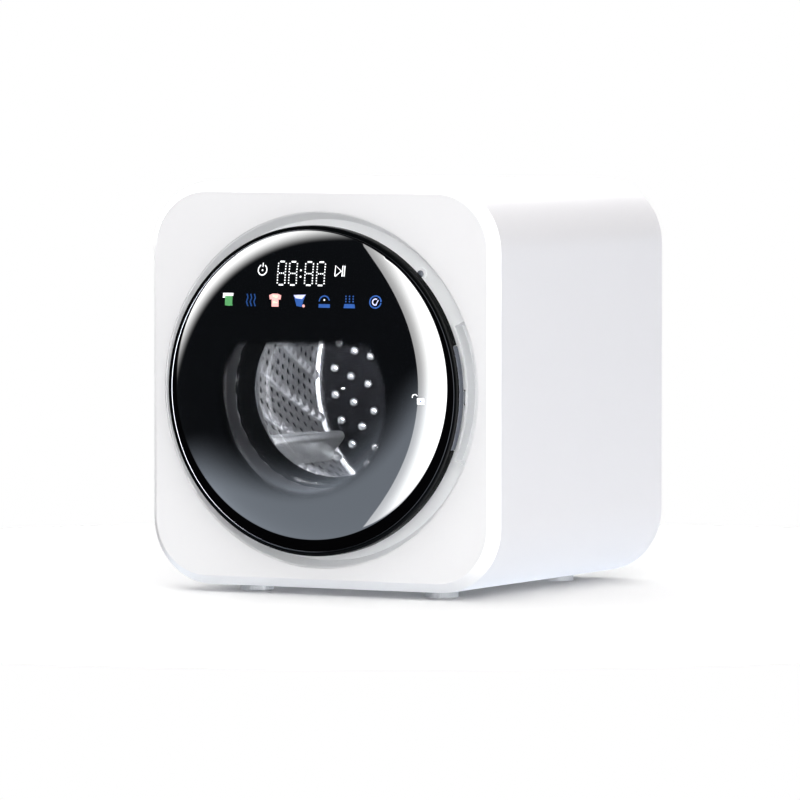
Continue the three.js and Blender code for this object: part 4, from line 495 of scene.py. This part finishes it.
def printed_glass():
    """Toughened glass, printed: a deep black mirror, clear in the window, with a dull black border."""
    material, tree = new_material("Printed_Tempered_Glass")
    where = add_node(tree, "ShaderNodeTexCoord")
    split = add_node(tree, "ShaderNodeSeparateXYZ", links={0: (where, "Object")})
    rise = add_node(tree, "ShaderNodeMath", {"operation": "SUBTRACT"}, {1: DOOR_Z - WINDOW_DROP},
                    {0: (split, "Z")})
    across = add_node(tree, "ShaderNodeMath", {"operation": "MULTIPLY"},
                      links={0: (split, "X"), 1: (split, "X")})
    up = add_node(tree, "ShaderNodeMath", {"operation": "MULTIPLY"}, links={0: (rise, 0), 1: (rise, 0)})
    total = add_node(tree, "ShaderNodeMath", {"operation": "ADD"}, links={0: (across, 0), 1: (up, 0)})
    reach_out = add_node(tree, "ShaderNodeMath", {"operation": "SQRT"}, links={0: (total, 0)})
    inside = add_node(tree, "ShaderNodeMapRange", {"interpolation_type": "SMOOTHSTEP"},
                      {"From Min": WINDOW_BLACK, "From Max": WINDOW_CLEAR, "To Min": 0.0, "To Max": 1.0},
                      {"Value": (reach_out, 0)})
    below = add_node(tree, "ShaderNodeMapRange", {"interpolation_type": "SMOOTHSTEP"},
                     {"From Min": DOOR_Z + WINDOW_TOP + 0.010, "From Max": DOOR_Z + WINDOW_TOP,
                      "To Min": 0.0, "To Max": 1.0},
                     {"Value": (split, "Z")})
    window = add_node(tree, "ShaderNodeMath", {"operation": "MULTIPLY"},
                      links={0: (inside, 0), 1: (below, 0)})
    print_black = add_node(tree, "ShaderNodeBsdfPrincipled",
                           values={"Base Color": linear("#050608"), "Roughness": 0.03,
                                   "Specular IOR Level": 1.0})
    clear = add_node(tree, "ShaderNodeBsdfTransparent", values={"Color": linear("#e0e0e1")})
    shine = add_node(tree, "ShaderNodeBsdfGlossy", values={"Color": linear("#ffffff"), "Roughness": 0.03})
    facing = add_node(tree, "ShaderNodeFresnel", values={"IOR": 1.8})
    pane = add_node(tree, "ShaderNodeMixShader", links={0: (facing, 0), 1: (clear, 0), 2: (shine, 0)})
    whole = add_node(tree, "ShaderNodeMixShader", links={0: (window, 0), 1: (print_black, 0), 2: (pane, 0)})
    lifted = add_node(tree, "ShaderNodeVectorMath", {"operation": "SUBTRACT"},
                      {1: (0, 0, DOOR_Z + DOME_LIFT)}, {0: (where, "Object")})
    in_plane = add_node(tree, "ShaderNodeVectorMath", {"operation": "MULTIPLY"}, {1: (1, 0, 1)},
                        {0: (lifted, "Vector")})
    spread = add_node(tree, "ShaderNodeVectorMath", {"operation": "LENGTH"}, links={0: (in_plane, "Vector")})
    outside = add_node(tree, "ShaderNodeMapRange", values={"From Min": BORDER_START, "From Max": BORDER_FULL},
                       links={"Value": (spread, "Value")})
    border = add_node(tree, "ShaderNodeBsdfPrincipled",
                      values={"Base Color": linear("#040405"), "Roughness": 0.35,
                              "Specular IOR Level": 0.0})
    pane_and_border = add_node(tree, "ShaderNodeMixShader",
                               links={0: (outside, 0), 1: (whole, 0), 2: (border, 0)})
    add_node(tree, "ShaderNodeOutputMaterial", links={"Surface": (pane_and_border, 0)})
    return material


PANE_MM = 4
front_radii = (2.0, 30, 60, 80, 95, 108, 118, 126, 133, 139, 144, 148, 151.5, 154, DOME_RADIUS)
glass_outline = [(radius, dome(radius)) for radius in front_radii]
glass_outline += [(161, -17.8), (161.8, -17.5), (162, -16.8), (162, -13.8), (148, -13.8)]
glass_outline += [(radius, dome(radius) + PANE_MM) for radius in (142, 133, 120, 100, 70, 30, 2.0)]
pane_glass = turned(glass_outline, closed=False)
for vertex in pane_glass.data.vertices:
    radius = math.hypot(vertex.co.x, vertex.co.z - DOOR_Z)
    vertex.co.z += DOME_LIFT * min(1.0, max(0.0, (PANE_EDGE - radius) / DOME_LIFT))
smooth(pane_glass, 30)
fit_piece(pane_glass, "Door_Glass", "door", "black_glass", printed_glass(), "door_glass")


# Finger grip: a dark grey ABS insert in the right-hand side of the door ring, with a finely
# textured face and softened edges. It is screwed to the ring from behind.
# ABS moulded in a spark-eroded tool: dark grey, with a fine matt texture.
grip_abs = grained("Dark_Grey_ABS", "#3b3e45", 0.5, 0.7, 0.02, tone=0.06, **{"Specular IOR Level": 0.3})
grip = sector(163.4, 167, -19.6, 16.9, -14, -5, 60)
use_modifier(grip, "BEVEL", width=0.0008, segments=3, limit_method="ANGLE", angle_limit=math.radians(50))
smooth(grip, 50)
fit_piece(grip, "Finger_Grip", "door", "dark_buffer", grip_abs, "door_grip")


# Gasket: a grey rubber bellows between the surround's collar and the tub's mouth, held on the collar
# by the groove at its front.
# Moulded EPDM rubber: mid grey and dull, a little uneven in tone.
gasket_rubber = grained("Grey_EPDM_Rubber", "#777b80", 0.6, 0.8, 0.02, tone=0.08)
gasket = turned([
    (114.7, 22), (114.7, 30.3), (117.8, 30.3), (117.8, 23), (120.8, 23), (122.8, 37.5), (118.3, 46.7),
    (115.3, 46.7), (115.3, 42.7), (111, 35), (97.5, 33), (98.5, 30.5), (111.7, 31.5), (111.7, 22),
])
smooth(gasket)
fit_piece(gasket, "Door_Gasket", "cabinet", "grey_rubber", gasket_rubber, "door_gasket")


# Door bowl: a pressed clear glass bowl behind the window that keeps the wash inside the drum.
# Its flange is clamped between the rear door frame and the glass.
WAVE_MM = 25


def clear_glass():
    """Pressed glass: clear, a little smoky and wavy, with a reflection that grows towards its edges."""
    material, tree = new_material("Pressed_Clear_Glass")
    where = add_node(tree, "ShaderNodeTexCoord")
    waves = add_node(tree, "ShaderNodeTexNoise", values={"Scale": 1000 / WAVE_MM, "Detail": 1.0},
                     links={"Vector": (where, "Object")})
    ripple = add_node(tree, "ShaderNodeBump", values={"Strength": 0.4, "Distance": 0.0006},
                      links={"Height": (waves, "Fac")})
    clear = add_node(tree, "ShaderNodeBsdfTransparent", values={"Color": linear("#ededee")})
    shine = add_node(tree, "ShaderNodeBsdfGlossy", values={"Color": linear("#ffffff"), "Roughness": 0.04},
                     links={"Normal": (ripple, "Normal")})
    facing = add_node(tree, "ShaderNodeFresnel", values={"IOR": 1.5}, links={"Normal": (ripple, "Normal")})
    glass = add_node(tree, "ShaderNodeMixShader", links={0: (facing, 0), 1: (clear, 0), 2: (shine, 0)})
    add_node(tree, "ShaderNodeOutputMaterial", links={"Surface": (glass, 0)})
    return material


bowl = turned([
    (111, -1.3), (111, 1.7), (99, 1.7), (98.5, 8), (96, 34), (94, 40), (90, 44.5), (83, 47.5), (53, 49),
    (0.4, 50), (0.4, 47), (53, 46), (81, 44.5), (87, 42), (91, 38), (93, 33), (95.5, -1.3),
], 128)
smooth(bowl, 40)
fit_piece(bowl, "Door_Bowl", "door", "clear_glass", clear_glass(), "door_bowl")


# Drum wall: rolled stainless sheet, welded to a tube. Rows of drain holes run round it, and every
# fourth column is pressed inwards as bumps that lift the wash.
# Stainless sheet with a mill finish: bright, slightly soft in its reflections.
drum_steel = grained("Stainless_Drum_Sheet", "#dedfe1", 0.34, 1.5, 0.004, tone=0.08, Metallic=1.0)


def drum_sheet(columns, rows, radius, front, back, hole_share, bump_rise):
    """A tube of sheet with slanted columns of drain holes, every fourth one pressed inwards as bumps.

    It is drawn flat, one unit square to a hole, and then rolled up."""
    bpy.ops.object.select_all(action="DESELECT")
    bpy.ops.mesh.primitive_grid_add(x_subdivisions=columns, y_subdivisions=rows, size=1)
    sheet = bpy.context.object
    sheet.scale = (columns, rows, 1)
    bpy.ops.object.transform_apply(location=True, rotation=True, scale=True)
    bpy.ops.object.mode_set(mode="EDIT")
    bpy.ops.mesh.select_mode(type="FACE")
    bpy.ops.mesh.select_all(action="SELECT")
    margin = 0.13
    bpy.ops.mesh.inset(use_individual=True, thickness=margin)
    bpy.ops.mesh.inset(use_individual=True, thickness=0.5 - margin - hole_share / 2)
    bpy.ops.mesh.bevel(affect="VERTICES", offset=hole_share * 0.28)
    bpy.ops.object.mode_set(mode="OBJECT")
    for face in sheet.data.polygons:
        across, along = face.center.x + columns / 2 - 0.5, face.center.y + rows / 2 - 0.5
        in_middle = abs(across - round(across)) < 0.02 and abs(along - round(along)) < 0.02
        is_bump = round(across) % 4 == 3
        face.select = in_middle and not is_bump
        if in_middle and is_bump:
            for vertex in face.vertices:
                sheet.data.vertices[vertex].co.z = bump_rise / 1000
    bpy.ops.object.mode_set(mode="EDIT")
    bpy.ops.mesh.delete(type="FACE")
    bpy.ops.object.mode_set(mode="OBJECT")
    for vertex in sheet.data.vertices:
        along = vertex.co.y / rows + 0.5
        turn = 2 * math.pi * (vertex.co.x + along * rows / 2) / columns
        reach_out = radius / 1000 - vertex.co.z
        vertex.co = (
            reach_out * math.cos(turn),
            place(front + (back - front) * along),
            DOOR_Z + reach_out * math.sin(turn),
        )
    select_faces(sheet, lambda centre, normal: True)
    bpy.ops.mesh.remove_doubles(threshold=1e-5)
    bpy.ops.mesh.normals_make_consistent(inside=False)
    bpy.ops.object.mode_set(mode="OBJECT")
    use_modifier(sheet, "SOLIDIFY", thickness=0.0012, offset=-1)
    smooth(sheet, 50)
    return sheet


drum_wall = drum_sheet(
    columns=80, rows=17, radius=145, front=58.5, back=256.5, hole_share=0.50, bump_rise=3.6
)
fit_piece(drum_wall, "Drum_Wall", "drum", "drum_steel", drum_steel, "drum_shell")


# Drum front ring: a stainless lip, spun to shape and rolled over the front edge of the drum's wall and
# round its mouth.
drum_lip = turned([
    (104, 61), (103.2, 58.8), (104.4, 57.2), (107, 57), (141, 57), (144, 57.8), (145, 60), (145, 62),
    (143.4, 62), (143, 60.4), (140.6, 58.6), (107.4, 58.6), (105.6, 61),
])
smooth(drum_lip, 50)
fit_piece(drum_lip, "Drum_Front_Ring", "drum", "drum_steel", drum_steel, "drum_front_ring")


# Drum lifters: three ribs of stainless sheet fixed inside the drum's wall. They carry the wash up as
# the drum turns. The one at the top is modelled, and the other two are copies of it.
LIFTER_FOOT, LIFTER_SHOULDER = 142.4, 1.12
LIFTER_FRONT = 82


def copy_piece(piece, move=(0, 0, 0), degrees=0):
    """A copy with its own mesh, moved in metres and turned round the door's axis, from the top leftwards."""
    bpy.ops.object.select_all(action="DESELECT")
    bpy.context.view_layer.objects.active = piece
    piece.select_set(True)
    bpy.ops.object.duplicate()
    bpy.ops.transform.translate(value=move)
    bpy.ops.transform.rotate(value=math.radians(degrees), orient_axis="Y", center_override=(0, 0, DOOR_Z))
    bpy.ops.object.transform_apply(location=True, rotation=True, scale=True)
    return bpy.context.object


# Stainless sheet, brushed: duller than the drum's wall, with an uneven tone.
brushed_steel = grained("Brushed_Stainless_Sheet", "#cfd1d3", 0.38, 0.6, 0.02, tone=0.12, Metallic=1.0)
half_profile = [(18.6, 1.2), (12, 10), (6.4, 24), (3.4, 28.6)]
profile = [(-aside, inwards) for aside, inwards in half_profile] + half_profile[::-1]
bpy.ops.object.select_all(action="DESELECT")
bpy.ops.mesh.primitive_circle_add(vertices=len(profile), radius=1, fill_type="NGON")
top_lifter = bpy.context.object
for vertex, (aside, inwards) in zip(top_lifter.data.vertices, profile):
    vertex.co = (aside / LIFTER_SHOULDER / 1000, place(LIFTER_FRONT), DOOR_Z + (LIFTER_FOOT - inwards) / 1000)
bpy.ops.object.mode_set(mode="EDIT")
bpy.ops.mesh.select_all(action="SELECT")
for length, share in ((8, LIFTER_SHOULDER), (134, 1.0), (8, 1 / LIFTER_SHOULDER)):
    bpy.ops.mesh.extrude_region_move(TRANSFORM_OT_translate={"value": (0, length / 1000, 0)})
    bpy.ops.transform.resize(value=(share, 1, 1), center_override=(0, 0, DOOR_Z))
bpy.ops.mesh.select_all(action="SELECT")
bpy.ops.mesh.normals_make_consistent(inside=False)
bpy.ops.object.mode_set(mode="OBJECT")
use_modifier(top_lifter, "BEVEL", width=0.002, segments=3, limit_method="ANGLE", angle_limit=math.radians(25))
smooth(top_lifter, 40)
lifters = [top_lifter] + [copy_piece(top_lifter, degrees=turn) for turn in (120, 240)]
for number, lifter in enumerate(lifters, start=1):
    fit_piece(lifter, f"Drum_Lifter_{number}", "drum", "drum_steel", brushed_steel, f"drum_lifter_{number}")


# Drum back: a pressed stainless disc seamed to the drum's wall, dished at the middle over the spider,
# with three rings of round bumps that rub the wash. Its colour is painted shade, dark grey, with painted
# glints on the bump tops.
BACK_FLAT, BACK_GLINT_TOP = 256.8, 253.8
DISH_RADIUS, PAST_DISH = 0.062, 0.072
SCUFF_MM = 10 / 7


def glint_painted_steel():
    """Pressed stainless, painted dark grey as shade in the flat and the dish of the disc, with painted glints
    on the bumps' tops.
    """
    material, tree = new_material("Stainless_Back_Painted_Glints")
    where = add_node(tree, "ShaderNodeTexCoord")
    split = add_node(tree, "ShaderNodeSeparateXYZ", links={0: (where, "Object")})
    # Painted glint: the steel turns bright where it stands forward of the flat, on the bump tops, and less so
    # over the dish.
    forward = add_node(tree, "ShaderNodeMapRange",
                       values={"From Min": place(BACK_FLAT), "From Max": place(BACK_GLINT_TOP)},
                       links={"Value": (split, "Y")})
    across = add_node(tree, "ShaderNodeVectorMath", {"operation": "MULTIPLY"}, {1: (1, 0, 1)},
                      {0: (where, "Object")})
    from_axis = add_node(tree, "ShaderNodeVectorMath", {"operation": "DISTANCE"}, {1: (0, 0, DOOR_Z)},
                         {0: (across, 0)})
    past_dish = add_node(tree, "ShaderNodeMapRange",
                         values={"From Min": DISH_RADIUS, "From Max": PAST_DISH, "To Min": 0.2},
                         links={"Value": (from_axis, "Value")})
    painted_glint = add_node(tree, "ShaderNodeMath", {"operation": "MULTIPLY"},
                      links={0: (forward, 0), 1: (past_dish, 0)})
    painted_light_tint = add_node(tree, "ShaderNodeMix", {"data_type": "RGBA"},
                    {6: linear("#2b2c2f"), 7: linear("#d3d5d7")}, {0: (painted_glint, 0)})
    scuffs = add_node(tree, "ShaderNodeTexNoise", values={"Scale": 1000 / SCUFF_MM, "Detail": 3.0},
                      links={"Vector": (where, "Object")})
    relief = add_node(tree, "ShaderNodeBump", values={"Strength": 0.5, "Distance": 0.000004},
                      links={"Height": (scuffs, "Fac")})
    steel = add_node(tree, "ShaderNodeBsdfPrincipled", values={"Metallic": 1.0, "Roughness": 0.26},
                     links={"Base Color": (painted_light_tint, 2), "Normal": (relief, "Normal")})
    add_node(tree, "ShaderNodeOutputMaterial", links={"Surface": (steel, 0)})
    return material


drum_back = turned([
    (0.4, 250), (30, 250), (42, 252), (60, 256.4), (72, 257.4), (136, 257.4), (141, 256), (144, 250.5),
    (145, 250.5), (145, 258.6), (72, 258.6), (58, 257.8), (40, 253.4), (30, 251.2), (0.4, 251.2),
], 128)


BUMP_FOOT = 257.2


def ring_of_bumps(ring_radius, count, size):
    """Round bumps with their feet sunk in the sheet: one is pressed at the middle and copied round."""
    model = turned([
        (0.3, BUMP_FOOT - 4.6), (size * 0.45, BUMP_FOOT - 4.0), (size * 0.8, BUMP_FOOT - 2.2),
        (size, BUMP_FOOT), (size, BUMP_FOOT + 0.6),
    ], 14, closed=False)
    turns = [math.radians(360 * i / count + ring_radius) for i in range(count)]
    ring = [copy_piece(model, (ring_radius * math.cos(t) / 1000, 0, ring_radius * math.sin(t) / 1000))
            for t in turns]
    bpy.data.objects.remove(model)
    return ring


bumps = ring_of_bumps(84, 18, 5.2) + ring_of_bumps(104, 24, 5.4) + ring_of_bumps(124, 28, 5.6)
bpy.ops.object.select_all(action="DESELECT")
for one in [drum_back, *bumps]:
    one.select_set(True)
bpy.context.view_layer.objects.active = drum_back
bpy.ops.object.join()
smooth(drum_back, 50)
fit_piece(drum_back, "Drum_Back", "drum", "drum_steel", glint_painted_steel(), "drum_back")


# Display: light seen through the printed glass. Power and play marks stand either side of four digits
# of bars and dots, over seven small pictures of wash programmes. A padlock is alone at the right.
def ink(name, colour, glow):
    """A printed colour lit from behind, slightly uneven in tone."""
    return grained(name, colour, 0.3, 0.8, 0.001, tone=0.1,
                   **{"Emission Color": linear(colour), "Emission Strength": glow})


def flat(points, material):
    """A flat shape from its outline in millimetres across and up, facing the front."""
    bpy.ops.object.select_all(action="DESELECT")
    bpy.ops.mesh.primitive_circle_add(vertices=len(points), radius=1, fill_type="NGON")
    shape = bpy.context.object
    for vertex, (x, z) in zip(shape.data.vertices, points):
        vertex.co = (x / 1000, 0, z / 1000)
    shape.data.materials.append(material)
    return shape


def stroke(points, width, material):
    """A line of even width along a path in millimetres across and up."""
    left, right = [], []
    for i, (x, z) in enumerate(points):
        x0, z0 = points[max(i - 1, 0)]
        x1, z1 = points[min(i + 1, len(points) - 1)]
        length = math.hypot(x1 - x0, z1 - z0)
        nx, nz = (z0 - z1) / length * width / 2, (x1 - x0) / length * width / 2
        left.append((x + nx, z + nz))
        right.append((x - nx, z - nz))
    return flat(left + right[::-1], material)


def arc(radius, from_degrees, to_degrees, x=0.0, z=0.0, steps=24):
    """Points along an arc."""
    turns = [math.radians(from_degrees + (to_degrees - from_degrees) * i / steps) for i in range(steps + 1)]
    return [(x + radius * math.cos(t), z + radius * math.sin(t)) for t in turns]


def dot(x, z, radius, material):
    """A round dot."""
    return flat(arc(radius, 0, 330, x, z, 11), material)


def print_on_glass(name, x, z, shapes):
    """Joins flat shapes, moves them to a place on the door and lays them on the dome."""
    bpy.ops.object.select_all(action="DESELECT")
    for shape in shapes:
        shape.select_set(True)
    bpy.context.view_layer.objects.active = shapes[0]
    bpy.ops.object.join()
    mark = bpy.context.object
    bpy.ops.object.mode_set(mode="EDIT")
    bpy.ops.mesh.select_all(action="SELECT")
    bpy.ops.mesh.quads_convert_to_tris()
    bpy.ops.object.mode_set(mode="OBJECT")
    for vertex in mark.data.vertices:
        across, up = x + vertex.co.x * 1000, z + vertex.co.z * 1000
        on_dome = dome(math.hypot(across, up - DOME_LIFT * 1000)) - 0.15
        vertex.co = (across / 1000, place(on_dome), DOOR_Z + up / 1000)
    select_faces(mark, lambda centre, normal: normal.y > 0)
    bpy.ops.mesh.flip_normals()
    bpy.ops.object.mode_set(mode="OBJECT")
    mark.name = mark.data.name = name
    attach(mark, "door")


# Inks screen-printed on glass and lit from behind: flat colours that glow a little.
white = ink("White_Backlit_Print", "#f4f6f8", 0.9)
print_on_glass("Power_Mark", -47.4, 122.1, [
    stroke(arc(5.2, 118, 422), 1.1, white),
    stroke([(0, 3.0), (0, 7.0)], 1.0, white),
    dot(0, -0.4, 0.9, white),
])
print_on_glass("Play_Mark", 41.5, 122.1, [
    stroke([(-5, -5.2), (-5, 5.4), (1.8, 0), (-4.4, -5.2)], 1.1, white),
    stroke([(3.0, 5.4), (3.0, -5.4)], 1.1, white), stroke([(5.2, 5.4), (5.2, -5.4)], 1.1, white),
])
digit = [stroke([(-2.6, level), (2.6, level)], 1.5, white) for level in (-11.6, 11.6)]
digit += [dot(across, 0, 0.75, white) for across in (-2.4, 0, 2.4)]
digit += [dot(side * 4.4, sign * (1.6 + 2.7 * step), 0.75, white)
          for side in (-1, 1) for sign in (-1, 1) for step in range(4)]
for number, middle in enumerate((-24.4, -11.2, 7.2, 20.6), start=1):
    print_on_glass(f"Digit_{number}", middle, 119.1, [copy_piece(shape) for shape in digit])
for shape in digit:
    bpy.data.objects.remove(shape)
print_on_glass("Colon", -2.2, 119.1, [dot(0, -3.2, 1.0, white), dot(0, 3.2, 1.0, white)])

leaf_green = ink("Green_Backlit_Print", "#4f9159", 0.5)
navy = ink("Navy_Backlit_Print", "#1a3f78", 0.35)
rose = ink("Rose_Backlit_Print", "#e8a9a4", 0.7)
cream = ink("Cream_Backlit_Print", "#e6cdb8", 0.7)
lilac = ink("Lilac_Backlit_Print", "#c3c6ee", 0.7)
blue = ink("Blue_Backlit_Print", "#2b57a0", 0.3)
tee = [(-7, 5), (-3, 6.6), (3, 6.6), (7, 5), (6.2, 0.6), (4, 1), (4, -6.4), (-4, -6.4), (-4, 1), (-6.2, 0.6)]
PICTURES_Z = 91.8
print_on_glass("Shirt_Picture", -87.2, PICTURES_Z, [
    flat([(-4, 3.4), (5.6, 3.4), (5.6, -5.4), (3.0, -6.6), (-3.2, -6.2)], leaf_green),
    flat([(-6.8, 6.2), (6.4, 6.4), (6.2, 3.6), (-6.6, 1.2)], white), dot(5.4, -5.8, 0.8, leaf_green),
])
print_on_glass("Delicates_Picture", -58.9, PICTURES_Z, [
    stroke([(across, 6), (across + 1.2, 2), (across - 0.4, -2), (across + 1.4, -6.4)], 1.5, navy)
    for across in (-5, -0.6, 3.8)
])
print_on_glass("Tee_Picture", -30.6, PICTURES_Z, [
    flat(tee, rose), flat([(-3.2, 5), (3.2, 5), (2.6, -3), (-2.6, -3)], cream),
])
print_on_glass("Briefs_Picture", -2.3, PICTURES_Z, [
    flat([(-7, 5.6), (7, 6.2), (4.4, 0.4), (2.6, -6.2), (-3.4, -5.4), (-5.4, 1)], blue),
    flat([(-7, 5.6), (7, 6.2), (2.8, 1.6), (-4.6, 2.4)], lilac), dot(4.6, -5.2, 1.5, rose),
])
print_on_glass("Iron_Picture", 26.0, PICTURES_Z, [
    stroke(arc(5.8, 12, 178, 0, -0.6), 1.3, blue),
    flat([(-6.4, -6.6), (6.4, -6.6), (6.4, -3), (-6.4, -3)], blue),
    dot(0, 1.2, 0.9, white),
])
print_on_glass("Basin_Picture", 54.3, PICTURES_Z, [
    flat([(-6.4, -6.6), (6.4, -6.6), (5.6, -2.4), (-5.6, -2.4)], blue),
    *[dot(across, level, 0.8, blue) for across in (-4, 0, 4) for level in (0, 2.6, 5.2)],
])
print_on_glass("Dial_Picture", 82.6, PICTURES_Z, [
    stroke(arc(6.0, 0, 350), 1.4, blue),
    stroke(arc(3.0, 60, 300), 1.2, lilac),
    stroke([(0.6, -3), (3, 2)], 1.0, lilac),
])
print_on_glass("Padlock_Mark", 132.0, -6.5, [
    flat([(-3.4, -3.2), (3.4, -3.2), (3.4, 3), (-3.4, 3)], white),
    stroke(arc(2.5, 20, 200, -5.6, 4.2, 14), 0.9, white),
    dot(0, 0, 1.0, navy),
])


# Feet: grey nylon pads with a fluted rim to turn them by, moulded round their studs and screwed up
# into the sleeve. The one at the front left is modelled, and the others are copies of it.
# Moulded nylon: mid grey, waxy and a little mottled.
foot_nylon = grained("Moulded_Grey_Nylon", "#b4b6b9", 0.5, 0.8, 0.02, tone=0.08)
LEFT_FEET, FRONT_FEET = -0.107, place(61)
FEET_ACROSS, FEET_ALONG = 0.214, 0.257
bpy.ops.object.select_all(action="DESELECT")
bpy.ops.mesh.primitive_cylinder_add(
    vertices=48, radius=0.0174, depth=0.0076, location=(LEFT_FEET, FRONT_FEET, 0.0039)
)
foot = bpy.context.object
bpy.ops.object.transform_apply(location=True, rotation=True, scale=True)
select_faces(foot, lambda centre, normal: abs(normal.z) < 0.5)
bpy.ops.mesh.inset(thickness=0.0006, depth=-0.0005, use_individual=True)
bpy.ops.object.mode_set(mode="OBJECT")
use_modifier(foot, "BEVEL", width=0.0006, segments=2, limit_method="ANGLE", angle_limit=math.radians(60))
bpy.ops.object.select_all(action="DESELECT")
bpy.ops.mesh.primitive_cylinder_add(
    vertices=24, radius=0.004, depth=0.0165, location=(LEFT_FEET, FRONT_FEET, 0.01575)
)
stud = bpy.context.object
bpy.ops.object.transform_apply(location=True, rotation=True, scale=True)
combine(foot, "UNION", stud)
smooth(foot)
feet = {
    "Foot_Front_Left": foot,
    "Foot_Front_Right": copy_piece(foot, (FEET_ACROSS, 0, 0)),
    "Foot_Rear_Left": copy_piece(foot, (0, FEET_ALONG, 0)),
    "Foot_Rear_Right": copy_piece(foot, (FEET_ACROSS, FEET_ALONG, 0)),
}
for name, pad in feet.items():
    fit_piece(pad, name, "cabinet", "silver_plastic", foot_nylon, name.lower())


# Pieces inside the cabinet, behind it and behind the door keep the shapes of the frame. Each is
# finished here in the material it is made of.
# Sheet steel dipped in zinc: cool grey, with a patchy spangle.
galvanised_steel = grained("Galvanised_Sheet_Steel", "#a9adb0", 0.42, 6.0, 0.01, tone=0.18, Metallic=0.9)
# Steel plated with zinc: bright, smooth and a little blue.
plated_steel = grained("Zinc_Plated_Steel", "#b4b8bb", 0.3, 0.8, 0.004, tone=0.1, Metallic=1.0)
# Hard steel, ground: smooth, with sharper reflections than the plated and galvanised sheet.
ground_steel = grained("Ground_Bearing_Steel", "#b9bcc0", 0.22, 0.4, 0.002, tone=0.06, Metallic=1.0)
# Die-cast aluminium: pale grey and softly rough.
cast_alloy = grained("Die_Cast_Aluminium", "#aab0b4", 0.5, 0.5, 0.03, tone=0.1, Metallic=0.9)
# Moulded polypropylene: dark, waxy and dull.
tub_polypropylene = grained("Dark_Moulded_Polypropylene", "#2b2d30", 0.6, 2.0, 0.02, tone=0.08)
# Moulded nylon, undyed or dyed black: a soft sheen on both.
white_nylon = grained("Moulded_White_Nylon", "#ececea", 0.45, 1.5, 0.01, tone=0.03)
black_nylon = grained("Moulded_Black_Nylon", "#1c1d1f", 0.5, 1.2, 0.015, tone=0.15)
# Moulded black rubber: dull, with a dusty bloom.
black_rubber = grained("Moulded_Black_Rubber", "#18181a", 0.75, 0.6, 0.03, tone=0.2)
# Solder resist printed on a glass-fibre board: deep green, half glossy.
circuit_resin = grained("Green_Solder_Resist", "#2f5d3a", 0.45, 3.0, 0.01, tone=0.2)
# Phosphated steel: mid grey and matt.
hook_steel = grained("Phosphated_Steel", "#a2a4a7", 0.5, 0.5, 0.01, tone=0.1, Metallic=0.5)
FINISHES = [
    (powder_coat, ["rear_cover"]),
    (galvanised_steel, ["rear_chassis", "wall_bracket", "board_tray"]),
    (hook_steel, ["door_hook"]),
    (plated_steel, ["lock_blade", "hinge_bracket", "motor_body", "pump_motor"]),
    (ground_steel, [
        "hinge_pin", "drum_shaft", "front_bearing", "rear_bearing", "motor_pulley", "heater_element",
    ]),
    (cast_alloy, ["drum_spider", "drum_pulley"]),
    (tub_polypropylene, ["tub_front", "tub_rear"]),
    (white_nylon, ["inlet_valve", "spray_nozzle", "pump_impeller"]),
    (black_nylon, [
        "lock_housing", "motor_saddle", "pump_saddle", "pump_housing", "power_gland", "digit_display",
    ]),
    (black_rubber, [
        "tub_bush_1", "tub_bush_2", "tub_bush_3", "tub_bush_4", "shaft_seal", "drive_belt", "drain_hose",
    ]),
    (gasket_rubber, ["sump_hose", "fill_hose"]),
    (silver_abs, ["hinge_arm", "door_inner_frame"]),
    (circuit_resin, ["control_board", "display_board"]),
]
for material, names in FINISHES:
    for name in names:
        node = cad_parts[name]
        node.data.materials.clear()
        node.data.materials.append(material)
